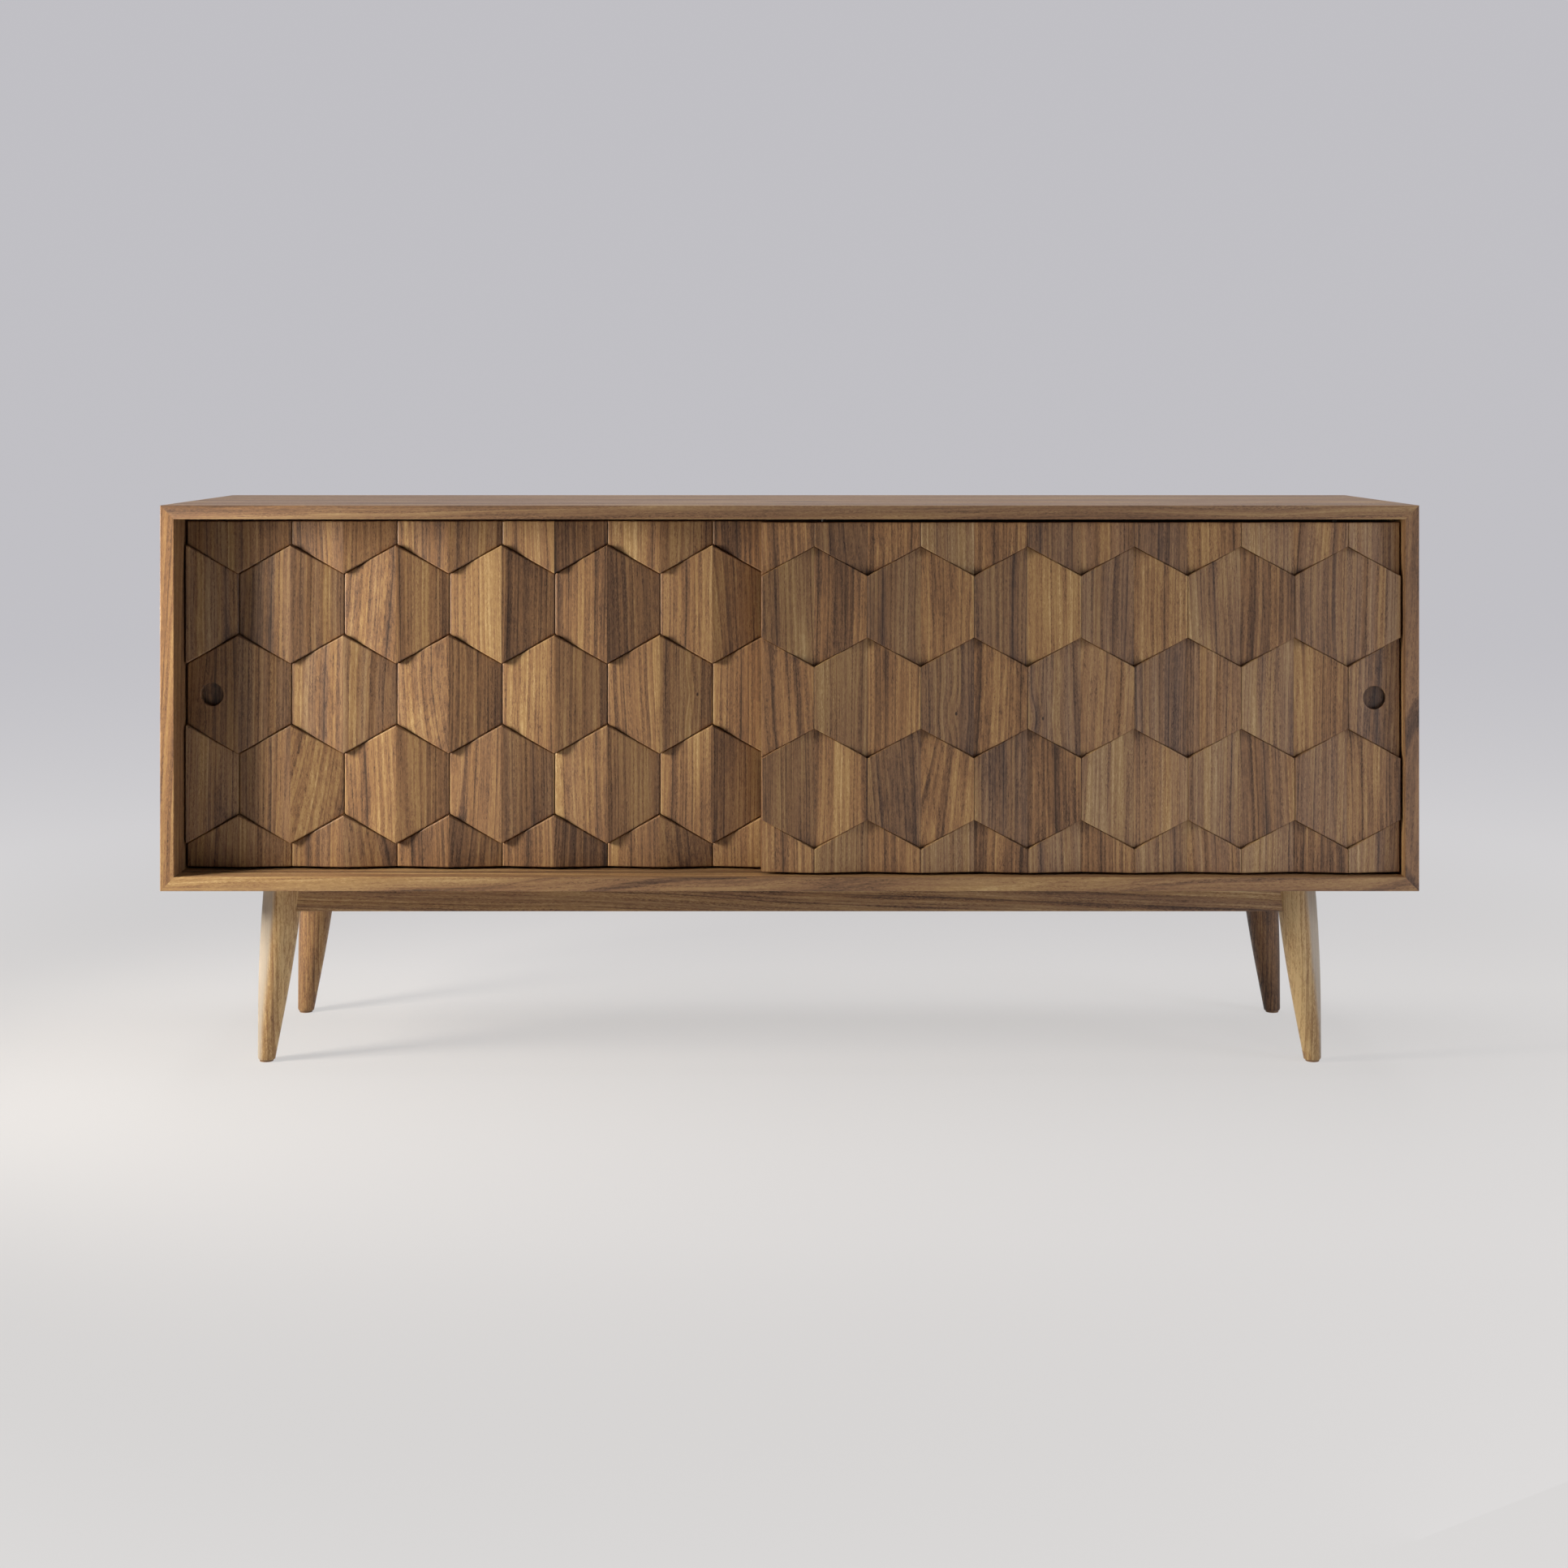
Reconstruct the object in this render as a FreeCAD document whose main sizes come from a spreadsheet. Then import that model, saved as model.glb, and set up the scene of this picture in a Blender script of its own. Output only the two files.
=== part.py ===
import FreeCAD, Part
import os
import re
import Sketcher

# Walnut sideboard: a mitred case on a leg frame, closed by two sliding doors faced with
# hexagon tiles.  +X runs to the right, +Y to the back and +Z up.  The origin is on the
# floor, under the middle of the case.  Every size is in millimetres, splay in degrees.

SIZES = [
    # The case
    ("case_width", 1800, "Case, side to side"),
    ("case_depth", 450, "Case, front to back"),
    ("case_height", 551.5, "Case, underside to top"),
    ("board", 20, "Thickness of the four mitred boards"),
    ("floor_clearance", 264, "Floor to the underside of the case"),
    ("back_thickness", 8, "Thickness of the back panel"),
    ("back_lap", 10, "How far the back panel laps each board"),
    ("back_play", 0.3, "Gap round the back panel in its rebate"),
    ("spline_thickness", 4, "Thickness of the mitre splines"),
    ("spline_width", 14, "Width of a mitre spline across the joint"),
    ("spline_stop", 25, "Distance of a spline's ends from the board edges"),
    # The inside of the case
    ("divider_thickness", 18, "Thickness of the upright divider"),
    ("interior_gap", 5.5, "Gap from the rear door to the divider"),
    ("dowel_diameter", 8, "Divider dowels"),
    ("dowel_length", 30, "Length of a divider dowel"),
    ("dowel_in_board", 10, "How far a dowel reaches into the case board"),
    ("dowel_inset", 60, "Dowel to the near edge of the divider"),
    ("glue_gap", 0.1, "Gap round a dowel and past its end"),
    ("shelf_thickness", 18, "Thickness of a shelf"),
    ("shelf_rise", 246, "Inside floor to the underside of a shelf"),
    ("shelf_setback", 10, "Shelf front behind the divider's front"),
    ("shelf_play", 1, "Gap at each end and at the back of a shelf"),
    ("pin_diameter", 5, "Shelf pins"),
    ("pin_grip", 8, "How far a shelf pin goes into its panel"),
    ("pin_reach", 10, "How far a shelf pin stands out of its panel"),
    ("pin_inset", 40, "Shelf pin to the near edge of the shelf"),
    ("back_screw_diameter", 3, "Shank of a back panel screw"),
    ("back_screw_head", 6, "Head of a back panel screw"),
    ("back_screw_length", 24, "Length of a back panel screw"),
    ("back_screw_inset", 60, "Corner of the opening to the nearest back screws"),
    # The tracks
    ("track_width", 10, "Width of each track groove"),
    ("bottom_track_depth", 8, "Depth of the grooves in the bottom board"),
    ("top_track_depth", 10, "Depth of the grooves in the top board"),
    ("channel_wall", 1.2, "Wall of the metal channels in the grooves"),
    # The doors
    ("door_setback", 12, "Case front to the front door's face"),
    ("door_spacing", 42.5, "Front door face to rear door face"),
    ("door_overlap", 82.4, "Overlap of the closed doors"),
    ("door_side_gap", 2, "Closed door to the case side"),
    ("door_bottom_gap", 3, "Door to the case floor"),
    ("door_top_gap", 5, "Door to the case ceiling"),
    ("core_thickness", 18, "Backing panel of a door"),
    ("tile_thin", 10, "Tile thickness along its thin edge"),
    ("tile_relief", 9, "Extra tile thickness along its thick edge"),
    ("hex_slope", 42, "Rise of a hexagon's sloping edge"),
    ("edge_row_height", 34.5, "Least height of the cut tiles at top and bottom"),
    ("tile_joint", 0.4, "Open joint between neighbouring hexagons"),
    ("pull_diameter", 33, "Bore of a finger pull"),
    ("pull_depth", 10, "Depth of a finger pull"),
    ("pull_rim", 1.2, "Rounding of a finger pull's rim"),
    # The rollers and guides
    ("wheel_diameter", 26, "Roller wheels"),
    ("wheel_width", 5, "Width of a wheel's rim"),
    ("wheel_edge", 1, "Bevel of a wheel's rim"),
    ("hub_diameter", 9, "Hub of a wheel"),
    ("hub_stand", 0.5, "How far the hub stands out of each side"),
    ("axle_diameter", 3, "Roller axles"),
    ("axle_play", 0.05, "Gap between axle and wheel"),
    ("wheel_side_play", 0.8, "Gap between wheel rim and housing cheek"),
    ("wheel_play", 1.5, "Gap between wheel rim and housing"),
    ("housing_width", 12, "Roller housing, front to back"),
    ("housing_wall", 2, "Ends and roof of a roller housing"),
    ("roller_inset", 90, "Roller axle to the near edge of its door"),
    ("run_gap", 0.3, "Running gap of wheels and guides"),
    ("guide_inset", 90, "Top guide to the near edge of its door"),
    ("guide_socket", 20, "How far a top guide goes into its door"),
    ("guide_headroom", 2.3, "Top guide to the top channel"),
    ("guide_tip", 1, "Bevel round the tip of a top guide"),
    # The leg frame
    ("leg_inset", 161, "Case side to the leg's axis at the case"),
    ("leg_setback", 82, "Case front to the leg's axis"),
    ("leg_splay", 5.7, "Outward lean of the legs, in degrees"),
    ("leg_trim", 4, "Turned length beyond each level cut"),
    ("leg_foot_diameter", 25, "Leg at the foot"),
    ("leg_shin_height", 75, "Height at which the leg starts to swell"),
    ("leg_shin_diameter", 38.8, "Leg at that height"),
    ("leg_calf_height", 160, "A height on the swelling part"),
    ("leg_calf_diameter", 50.8, "Leg at that height"),
    ("leg_top_diameter", 57.4, "Leg at the case"),
    ("rail_height", 43, "Height of the rails"),
    ("rail_thickness", 28, "Thickness of the rails"),
    ("tenon_thickness", 12, "Thickness of the rail tenons"),
    ("tenon_shoulder", 6, "Rail edge to tenon, above and below"),
    ("tenon_root", 12, "Leg axis to the end of a tenon"),
    ("tenon_overlap", 30, "Tenon length from its end to inside the rail"),
    ("frame_screw_diameter", 4.5, "Shank of a frame screw"),
    ("frame_screw_head", 9, "Head of a frame screw"),
    ("frame_screw_bite", 9, "How far a frame screw goes into the case"),
    ("frame_screw_inset", 150, "Leg axis to the nearest screw of a long rail"),
    ("side_screw_spacing", 110, "Between the two screws of a side rail"),
    ("counterbore_depth", 24, "Depth of the screw pockets in the rails"),
    ("counterbore_diameter", 12, "Width of the screw pockets in the rails"),
    ("glide_diameter", 20, "Floor glides"),
    ("glide_thickness", 3, "Thickness of a floor glide"),
    ("glide_spigot_diameter", 6, "Spigot of a floor glide"),
    ("glide_spigot_length", 10, "Length of a glide's spigot in the leg"),
]

DERIVED = {
    "case_half": "case_width / 2",
    "opening_half": "case_half - board",
    "front_y": "-case_depth / 2",
    "back_y": "case_depth / 2",
    "back_front_y": "back_y - back_thickness",
    "top_z": "floor_clearance + case_height",
    "floor_z": "floor_clearance + board",
    "ceiling_z": "top_z - board",
    "mitre_middle": "board / 2",
    "divider_front_y": "rear_core_y + core_thickness + interior_gap",
    "divider_half": "divider_thickness / 2",
    "shelf_z": "floor_z + shelf_rise",
    "shelf_front_y": "divider_front_y + shelf_setback",
    "shelf_back_y": "back_front_y - shelf_play",
    "front_core_y": "front_y + door_setback + tile_thin + tile_relief",
    "rear_core_y": "front_core_y + door_spacing",
    "front_track_y": "front_core_y + core_thickness / 2",
    "rear_track_y": "rear_core_y + core_thickness / 2",
    "door_width": "opening_half + door_overlap / 2 - door_side_gap",
    "door_bottom_z": "floor_z + door_bottom_gap",
    "door_top_z": "ceiling_z - door_top_gap",
    "door_middle_z": "(door_bottom_z + door_top_z) / 2",
    "half_pitch": "door_width / 12",
    "hex_side": "((door_top_z - door_bottom_z) / 2 - edge_row_height - 2 * hex_slope) / 1.5",
    "row_pitch": "hex_side + hex_slope",
    "channel_inside": "track_width - 2 * channel_wall",
    "running_z": "floor_z - bottom_track_depth + channel_wall",
    "wheel_radius": "wheel_diameter / 2",
    "axle_z": "running_z + run_gap + wheel_radius",
    "cavity_half_length": "wheel_radius + wheel_play",
    "cavity_half_width": "wheel_width / 2 + wheel_side_play",
    "cavity_top_z": "axle_z + wheel_radius + wheel_play",
    "housing_half_length": "cavity_half_length + housing_wall",
    "housing_top_z": "cavity_top_z + housing_wall",
    "guide_diameter": "channel_inside - 2 * run_gap",
    "guide_top_z": "ceiling_z + top_track_depth - channel_wall - guide_headroom",
    "leg_top_x": "case_half - leg_inset",
    "leg_foot_x": "leg_top_x + floor_clearance * tan(leg_splay * 1 deg)",
    "leg_y": "case_depth / 2 - leg_setback",
    "leg_length": "floor_clearance / cos(leg_splay * 1 deg)",
    "rail_bottom_z": "floor_clearance - rail_height",
    "rail_axis_x": "leg_top_x + rail_height / 2 * tan(leg_splay * 1 deg)",
}

HALVES = 12
ROWS = 5
CELLS = {alias for alias, _, _ in SIZES}

doc = FreeCAD.newDocument("Sideboard")


# --- The sheet and its formulas ---------------------------------------------------------

def make_sheet():
    """Put every driving size into the sheet, one row each, under its alias."""
    table = doc.addObject("Spreadsheet::Sheet", "Sizes")
    for row, (alias, number, note) in enumerate(SIZES, start=1):
        table.set(f"A{row}", alias)
        table.set(f"B{row}", str(number))
        table.set(f"C{row}", note)
        table.setAlias(f"B{row}", alias)
    doc.recompute()
    return table


def formula(text):
    """Spell a formula out in the sheet's cells."""
    def spell(match):
        word = match.group(0)
        if word in DERIVED:
            return f"({formula(DERIVED[word])})"
        return f"Sizes.{word}" if word in CELLS else word
    return re.sub(r"[a-z]+(_[a-z]+)*", spell, str(text))


def value(text):
    """Work a formula out as a plain number."""
    result = sheet.evalExpression(formula(text))
    return float(getattr(result, "Value", result))


def bind(thing, **formulas):
    """Tie properties of an object to formulas."""
    for name, text in formulas.items():
        thing.setExpression(name, formula(text))


def place(thing, x="0", y="0", z="0", axis=None, angle="0"):
    """Tie an object's place to formulas, turned about an axis."""
    for letter, text in zip("xyz", (x, y, z)):
        thing.setExpression(f"Placement.Base.{letter}", formula(text))
    if axis:
        thing.Placement.Rotation = FreeCAD.Rotation(FreeCAD.Vector(*axis), value(angle))
        thing.setExpression("Placement.Rotation.Angle", formula(angle))


# --- Makers of solids ------------------------------------------------------------------

def box(label, xs, ys, zs):
    """A box from three pairs of low and high formulas."""
    thing = doc.addObject("Part::Box", label)
    thing.Label = label
    lengths = [f"({high}) - ({low})" for low, high in (xs, ys, zs)]
    bind(thing, Length=lengths[0], Width=lengths[1], Height=lengths[2])
    place(thing, xs[0], ys[0], zs[0])
    return thing


def cylinder(label, diameter, length, x, y, z, axis=None, angle="0"):
    """A cylinder that stands on a point, turned about an axis."""
    thing = doc.addObject("Part::Cylinder", label)
    thing.Label = label
    bind(thing, Radius=f"({diameter}) / 2", Height=length)
    place(thing, x, y, z, axis, angle)
    return thing


def cone(label, low_diameter, high_diameter, length, x, y, z, axis=None, angle="0"):
    """A cone that stands on a point, turned about an axis."""
    thing = doc.addObject("Part::Cone", label)
    thing.Label = label
    bind(thing, Radius1=f"({low_diameter}) / 2", Radius2=f"({high_diameter}) / 2", Height=length)
    place(thing, x, y, z, axis, angle)
    return thing


def cut(label, base, tools):
    """The base less one or more tools that stay clear of each other."""
    thing = doc.addObject("Part::Cut", label)
    thing.Label = label
    thing.Base = base
    thing.Tool = tools[0] if len(tools) == 1 else group(f"{label}_cutters", tools)
    return thing


def fuse(label, pieces):
    """Pieces joined into one solid."""
    thing = doc.addObject("Part::MultiFuse", label)
    thing.Label = label
    thing.Shapes = pieces
    return thing


def group(label, pieces):
    """Pieces kept as separate solids of one node."""
    thing = doc.addObject("Part::Compound", label)
    thing.Label = label
    thing.Links = pieces
    return thing


def new_body(label):
    """An empty body."""
    thing = doc.addObject("PartDesign::Body", label)
    thing.Label = label
    return thing


def origin_plane(body, role):
    """One of a body's own origin planes."""
    return next(plane for plane in body.Origin.OriginFeatures if plane.Role == role)


def sketch_on(body, role, start):
    """A sketch on an origin plane, moved along the plane's normal."""
    sketch = body.newObject("Sketcher::SketchObject", f"{body.Name}_sketch")
    sketch.AttachmentSupport = (origin_plane(body, role), [""])
    sketch.MapMode = "FlatFace"
    sketch.setExpression("AttachmentOffset.Base.z", formula(start))
    return sketch


def hold(sketch, index, point, corner):
    """Hold one point of a sketch at two formulas from the sketch's origin."""
    for kind, text in zip(("DistanceX", "DistanceY"), corner):
        number = sketch.addConstraint(
            Sketcher.Constraint(kind, -1, 1, index, point, value(text)))
        sketch.setExpression(f"Constraints[{number}]", formula(text))


def polygon(sketch, corners):
    """A closed outline whose corners are pairs of formulas."""
    points = [FreeCAD.Vector(value(u), value(v), 0) for u, v in corners]
    count = len(points)
    for index, point in enumerate(points):
        sketch.addGeometry(Part.LineSegment(point, points[(index + 1) % count]))
    for index, corner in enumerate(corners):
        sketch.addConstraint(Sketcher.Constraint("Coincident", index, 2, (index + 1) % count, 1))
        hold(sketch, index, 1, corner)


def pad(body, role, corners, low, high):
    """Pad an outline between two places along its plane's normal."""
    start = f"-({high})" if role == "XZ_Plane" else low
    sketch = sketch_on(body, role, start)
    polygon(sketch, corners)
    feature = body.newObject("PartDesign::Pad", f"{body.Name}_pad")
    feature.Profile = sketch
    bind(feature, Length=f"({high}) - ({low})")
    doc.recompute()
    return feature


def pocket(body, role, corners, low, high):
    """Cut an outline out between two places, and see that wood came away."""
    before = body.Shape.Volume
    start = f"-({low})" if role == "XZ_Plane" else high
    sketch = sketch_on(body, role, start)
    polygon(sketch, corners)
    feature = body.newObject("PartDesign::Pocket", f"{body.Name}_pocket")
    feature.Profile = sketch
    bind(feature, Length=f"({high}) - ({low})")
    doc.recompute()
    if body.Shape.Volume >= before:
        raise RuntimeError(f"{feature.Name} removes nothing")
    return feature


def rectangle(us, vs):
    """The corners of a rectangle from two pairs of formulas."""
    return [(us[0], vs[0]), (us[1], vs[0]), (us[1], vs[1]), (us[0], vs[1])]


# --- The case --------------------------------------------------------------------------

def mitre_splines():
    """Four loose tongues, one across each mitre."""
    splines = []
    for side in (-1, 1):
        for level, up in (("floor_clearance + mitre_middle", -1), ("top_z - mitre_middle", 1)):
            spline = doc.addObject("Part::Box", "mitre_spline")
            bind(spline, Length="spline_width", Width="case_depth - 2 * spline_stop",
                 Height="spline_thickness")
            lean = side * up
            reach = "spline_width / 2 * cos(45 deg)"
            rise = "spline_thickness / 2 * cos(45 deg)"
            place(spline,
                  f"{side} * (case_half - mitre_middle) - {reach} - {lean} * {rise}",
                  "front_y + spline_stop",
                  f"{level} + {lean} * {reach} - {rise}",
                  (0, lean, 0), "45")
            splines.append(spline)
    return group("mitre_splines", splines)


def back_screws():
    """Countersunk screws round the back panel, driven forwards into the boards."""
    places = []
    for step in (-2, -1, 0, 1, 2):
        across = f"{step} * (opening_half - back_screw_inset) / 2"
        places.append((across, "floor_z - back_lap / 2"))
        places.append((across, "ceiling_z + back_lap / 2"))
    for step in (-1, 0, 1):
        level = (f"(floor_z + ceiling_z) / 2"
                 f" + {step} * ((ceiling_z - floor_z) / 2 - back_screw_inset)")
        places.append(("-opening_half - back_lap / 2", level))
        places.append(("opening_half + back_lap / 2", level))
    screws = []
    for x, z in places:
        shank = cylinder("back_screw_shank", "back_screw_diameter", "back_screw_length",
                         x, "back_y", z, (1, 0, 0), "90")
        head = cone("back_screw_head", "back_screw_head", "back_screw_diameter",
                    "(back_screw_head - back_screw_diameter) / 2", x, "back_y", z,
                    (1, 0, 0), "90")
        screws.append(fuse("back_screw", [shank, head]))
    return group("back_panel_screws", screws)


def divider_dowels():
    """Four dowels that hold the divider, and the holes that take them."""
    dowels = []
    holes = []
    for y in ("divider_front_y + dowel_inset", "back_front_y - dowel_inset"):
        for low in ("floor_z - dowel_in_board", "ceiling_z + dowel_in_board - dowel_length"):
            dowels.append(cylinder("dowel", "dowel_diameter", "dowel_length", "0", y, low))
            holes.append(cylinder("dowel_hole", "dowel_diameter + 2 * glue_gap",
                                  "dowel_length + 2 * glue_gap", "0", y, f"{low} - glue_gap"))
    return group("divider_dowels", dowels), group("dowel_holes", holes)


def shelf_pins():
    """Four pins under each shelf."""
    pins = []
    starts = ("-opening_half - pin_grip", "-divider_half - pin_reach",
              "divider_half - pin_grip", "opening_half - pin_reach")
    for x in starts:
        for y in ("shelf_front_y + pin_inset", "shelf_back_y - pin_inset"):
            pins.append(cylinder("shelf_pin", "pin_diameter", "pin_grip + pin_reach",
                                 x, y, "shelf_z - pin_diameter / 2", (0, 1, 0), "90"))
    return group("shelf_pins", pins)


def track_grooves(board, low, high):
    """The two grooves of the door tracks."""
    for middle in ("front_track_y", "rear_track_y"):
        ys = (f"{middle} - track_width / 2", f"{middle} + track_width / 2")
        pocket(board, "XY_Plane", rectangle(("-opening_half", "opening_half"), ys), low, high)


def back_rebate(board):
    """The step that takes the back panel, run through all four boards."""
    corners = rectangle(("-opening_half - back_lap", "opening_half + back_lap"),
                        ("floor_z - back_lap", "ceiling_z + back_lap"))
    pocket(board, "XZ_Plane", corners, "back_front_y", "back_y")


def case_boards(splines, screws, dowel_holes, pins, frame_screws):
    """Top, bottom and sides, mitred together."""
    level_ends = (("-case_half", "case_half"), ("-opening_half", "opening_half"))
    for label, outer, inner, groove in (
            ("top_panel", "top_z", "ceiling_z", ("ceiling_z", "ceiling_z + top_track_depth")),
            ("bottom_panel", "floor_clearance", "floor_z",
             ("floor_z - bottom_track_depth", "floor_z"))):
        blank = new_body(f"{label}_blank")
        (left, right), (inner_left, inner_right) = level_ends
        pad(blank, "XZ_Plane",
            [(left, outer), (right, outer), (inner_right, inner), (inner_left, inner)],
            "front_y", "back_y")
        track_grooves(blank, *groove)
        back_rebate(blank)
        tools = [splines, screws, dowel_holes]
        if label == "bottom_panel":
            tools.append(frame_screws)
        cut(label, blank, tools)
    for label, side in (("left_side_panel", "-1"), ("right_side_panel", "1")):
        blank = new_body(f"{label}_blank")
        pad(blank, "XZ_Plane",
            [(f"{side} * case_half", "floor_clearance"), (f"{side} * opening_half", "floor_z"),
             (f"{side} * opening_half", "ceiling_z"), (f"{side} * case_half", "top_z")],
            "front_y", "back_y")
        back_rebate(blank)
        cut(label, blank, [splines, screws, pins])


def case_inside(dowel_holes, screws, pins):
    """Back panel, divider and shelves."""
    half_width = "opening_half + back_lap - back_play"
    back_blank = box("back_panel_blank", (f"-({half_width})", half_width),
                     ("back_front_y", "back_y"),
                     ("floor_z - back_lap + back_play", "ceiling_z + back_lap - back_play"))
    cut("back_panel", back_blank, [screws])
    divider_blank = box("divider_blank", ("-divider_half", "divider_half"),
                        ("divider_front_y", "back_front_y"), ("floor_z", "ceiling_z"))
    cut("centre_divider", divider_blank, [dowel_holes, pins])
    depth = ("shelf_front_y", "shelf_back_y")
    height = ("shelf_z", "shelf_z + shelf_thickness")
    far = "opening_half - shelf_play"
    near = "divider_half + shelf_play"
    box("left_shelf", (f"-({far})", f"-({near})"), depth, height)
    box("right_shelf", (near, far), depth, height)


def track_channels():
    """Metal channels that line the four grooves."""
    for place_name, middle in (("front", "front_track_y"), ("rear", "rear_track_y")):
        outer = (f"{middle} - track_width / 2", f"{middle} + track_width / 2")
        inner = (f"{middle} - channel_inside / 2", f"{middle} + channel_inside / 2")
        for level, closed, wall, opened in (
                ("bottom", "floor_z - bottom_track_depth", "running_z", "floor_z"),
                ("top", "ceiling_z + top_track_depth",
                 "ceiling_z + top_track_depth - channel_wall", "ceiling_z")):
            channel = new_body(f"{place_name}_{level}_track")
            pad(channel, "YZ_Plane",
                [(outer[0], closed), (outer[1], closed), (outer[1], opened), (inner[1], opened),
                 (inner[1], wall), (inner[0], wall), (inner[0], opened), (outer[0], opened)],
                "-opening_half", "opening_half")


# --- The doors -------------------------------------------------------------------------

def half_tile(left, core_y, column, row, tall_parity):
    """One half of a hexagon: a wedge that is thick along one upright edge.

    Upright edges alternate between a hexagon's middle, which is tall, and the seam
    between two hexagons.  The thick edges alternate too, so the face folds in and out.
    """
    wedge = doc.addObject("Part::Wedge", "half_tile")
    centre = f"door_middle_z + {(ROWS - 1) // 2 - row} * row_pitch"
    sides = []
    for edge in (column, column + 1):
        tall = (edge + row) % 2 == tall_parity
        thick = (edge + row) % 2 == 1
        reach = "hex_side / 2 + hex_slope" if tall else "hex_side / 2"
        low = f"{centre} - ({reach}) + tile_joint / 2"
        high = f"{centre} + ({reach}) - tile_joint / 2"
        sides.append({
            "depth": "tile_thin + tile_relief" if thick else "tile_thin",
            "low": "door_bottom_z" if row == ROWS - 1 else low,
            "high": "door_top_z" if row == 0 else high,
            "inset": "0" if tall or edge in (0, HALVES) else "tile_joint / 2",
        })
    near, far = sides
    bind(wedge, Xmin="0", X2min="0", Xmax=near["depth"], X2max=far["depth"],
         Ymin=near["inset"], Ymax=f"half_pitch - {far['inset']}",
         Zmin=near["low"], Zmax=near["high"], Z2min=far["low"], Z2max=far["high"])
    place(wedge, f"{left} + {column} * half_pitch", core_y, "0")
    wedge.Placement.Rotation = FreeCAD.Rotation(FreeCAD.Vector(0, 0, 1), -90)
    return wedge


def finger_pull(tile, x, core_y):
    """Bore the finger pull into a half tile and round its rim."""
    floor = f"{core_y} - (tile_thin + tile_relief / 2 - pull_depth)"
    bore = cylinder("pull_bore", "pull_diameter", "pull_depth + tile_relief",
                    x, floor, "door_middle_z", (1, 0, 0), "90")
    bored = cut("bored_tile", tile, [bore])
    doc.recompute()
    rims = [(edge.BoundBox.YMin, index) for index, edge in enumerate(bored.Shape.Edges, 1)
            if len(edge.Vertexes) == 1 and edge.BoundBox.XLength > value("pull_diameter") / 2]
    rim = min(rims)[1]
    rounded = doc.addObject("Part::Fillet", "pull_tile")
    rounded.Base = bored
    rounded.Edges = [(rim, value("pull_rim"), value("pull_rim"))]
    return rounded


def tile_rows(name, left, core_y, tall_parity, pull_column):
    """Five rows of half tiles, the middle one with the finger pull."""
    for row in range(ROWS):
        tiles = [half_tile(left, core_y, column, row, tall_parity) for column in range(HALVES)]
        if row == (ROWS - 1) // 2:
            x = f"{left} + {pull_column + 0.5} * half_pitch"
            tiles[pull_column] = finger_pull(tiles[pull_column], x, core_y)
        group(f"{name}_tile_row_{row + 1}", tiles)


def roller_wheel(label, x, track_y):
    """A wheel with a bevelled rim and a hub, turned about its axle."""
    wheel = new_body(label)
    sketch = sketch_on(wheel, "XY_Plane", "0")
    bore = "axle_diameter / 2 + axle_play"
    rim = "wheel_width / 2"
    hub = "wheel_width / 2 + hub_stand"
    shoulder = "hub_diameter / 2"
    tread = "wheel_radius - wheel_edge"
    polygon(sketch, [
        (bore, f"-({hub})"), (shoulder, f"-({hub})"), (shoulder, f"-({rim})"),
        (tread, f"-({rim})"), ("wheel_radius", f"-({rim}) + wheel_edge"),
        ("wheel_radius", f"{rim} - wheel_edge"), (tread, rim), (shoulder, rim), (shoulder, hub),
        (bore, hub)])
    turned = wheel.newObject("PartDesign::Revolution", f"{label}_turned")
    turned.Profile = sketch
    turned.ReferenceAxis = (sketch, ["V_Axis"])
    turned.Angle = 360
    place(wheel, x, track_y, "axle_z")
    return wheel


def roller_set(name, rollers, track_y):
    """Housings, axles and wheels in the foot of a door."""
    housings = []
    axles = []
    sockets = []
    outer_y = (f"{track_y} - housing_width / 2", f"{track_y} + housing_width / 2")
    inner_y = (f"{track_y} - cavity_half_width", f"{track_y} + cavity_half_width")
    for place_name, x in rollers:
        xs = (f"{x} - housing_half_length", f"{x} + housing_half_length")
        cavity_x = (f"{x} - cavity_half_length", f"{x} + cavity_half_length")
        block = box("housing_block", xs, outer_y, ("door_bottom_z", "housing_top_z"))
        cavity = box("housing_cavity", cavity_x, inner_y, ("door_bottom_z - run_gap", "cavity_top_z"))
        axle = cylinder("roller_axle", "axle_diameter", "housing_width",
                        x, outer_y[1], "axle_z", (1, 0, 0), "90")
        housings.append(cut("roller_housing", block, [fuse("housing_hollow", [cavity, axle])]))
        axles.append(axle)
        sockets.append(box("roller_socket", xs, outer_y, ("door_bottom_z - run_gap", "housing_top_z")))
        roller_wheel(f"{name}_{place_name}_wheel", x, track_y)
    group(f"{name}_roller_housings", housings)
    group(f"{name}_roller_axles", axles)
    return sockets


def top_guides(name, places, track_y):
    """Pins that keep the head of a door in its top channel."""
    low = "door_top_z - guide_socket"
    pins = []
    for x in places:
        pin = cylinder("guide_pin", "guide_diameter", f"guide_top_z - ({low})", x, track_y, low)
        tip = doc.addObject("Part::Chamfer", "guide_pin_tip")
        tip.Base = pin
        doc.recompute()
        head = max((edge.BoundBox.ZMin, index) for index, edge in enumerate(pin.Shape.Edges, 1))[1]
        tip.Edges = [(head, value("guide_tip"), value("guide_tip"))]
        pins.append(tip)
    return group(f"{name}_top_guides", pins)


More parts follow.
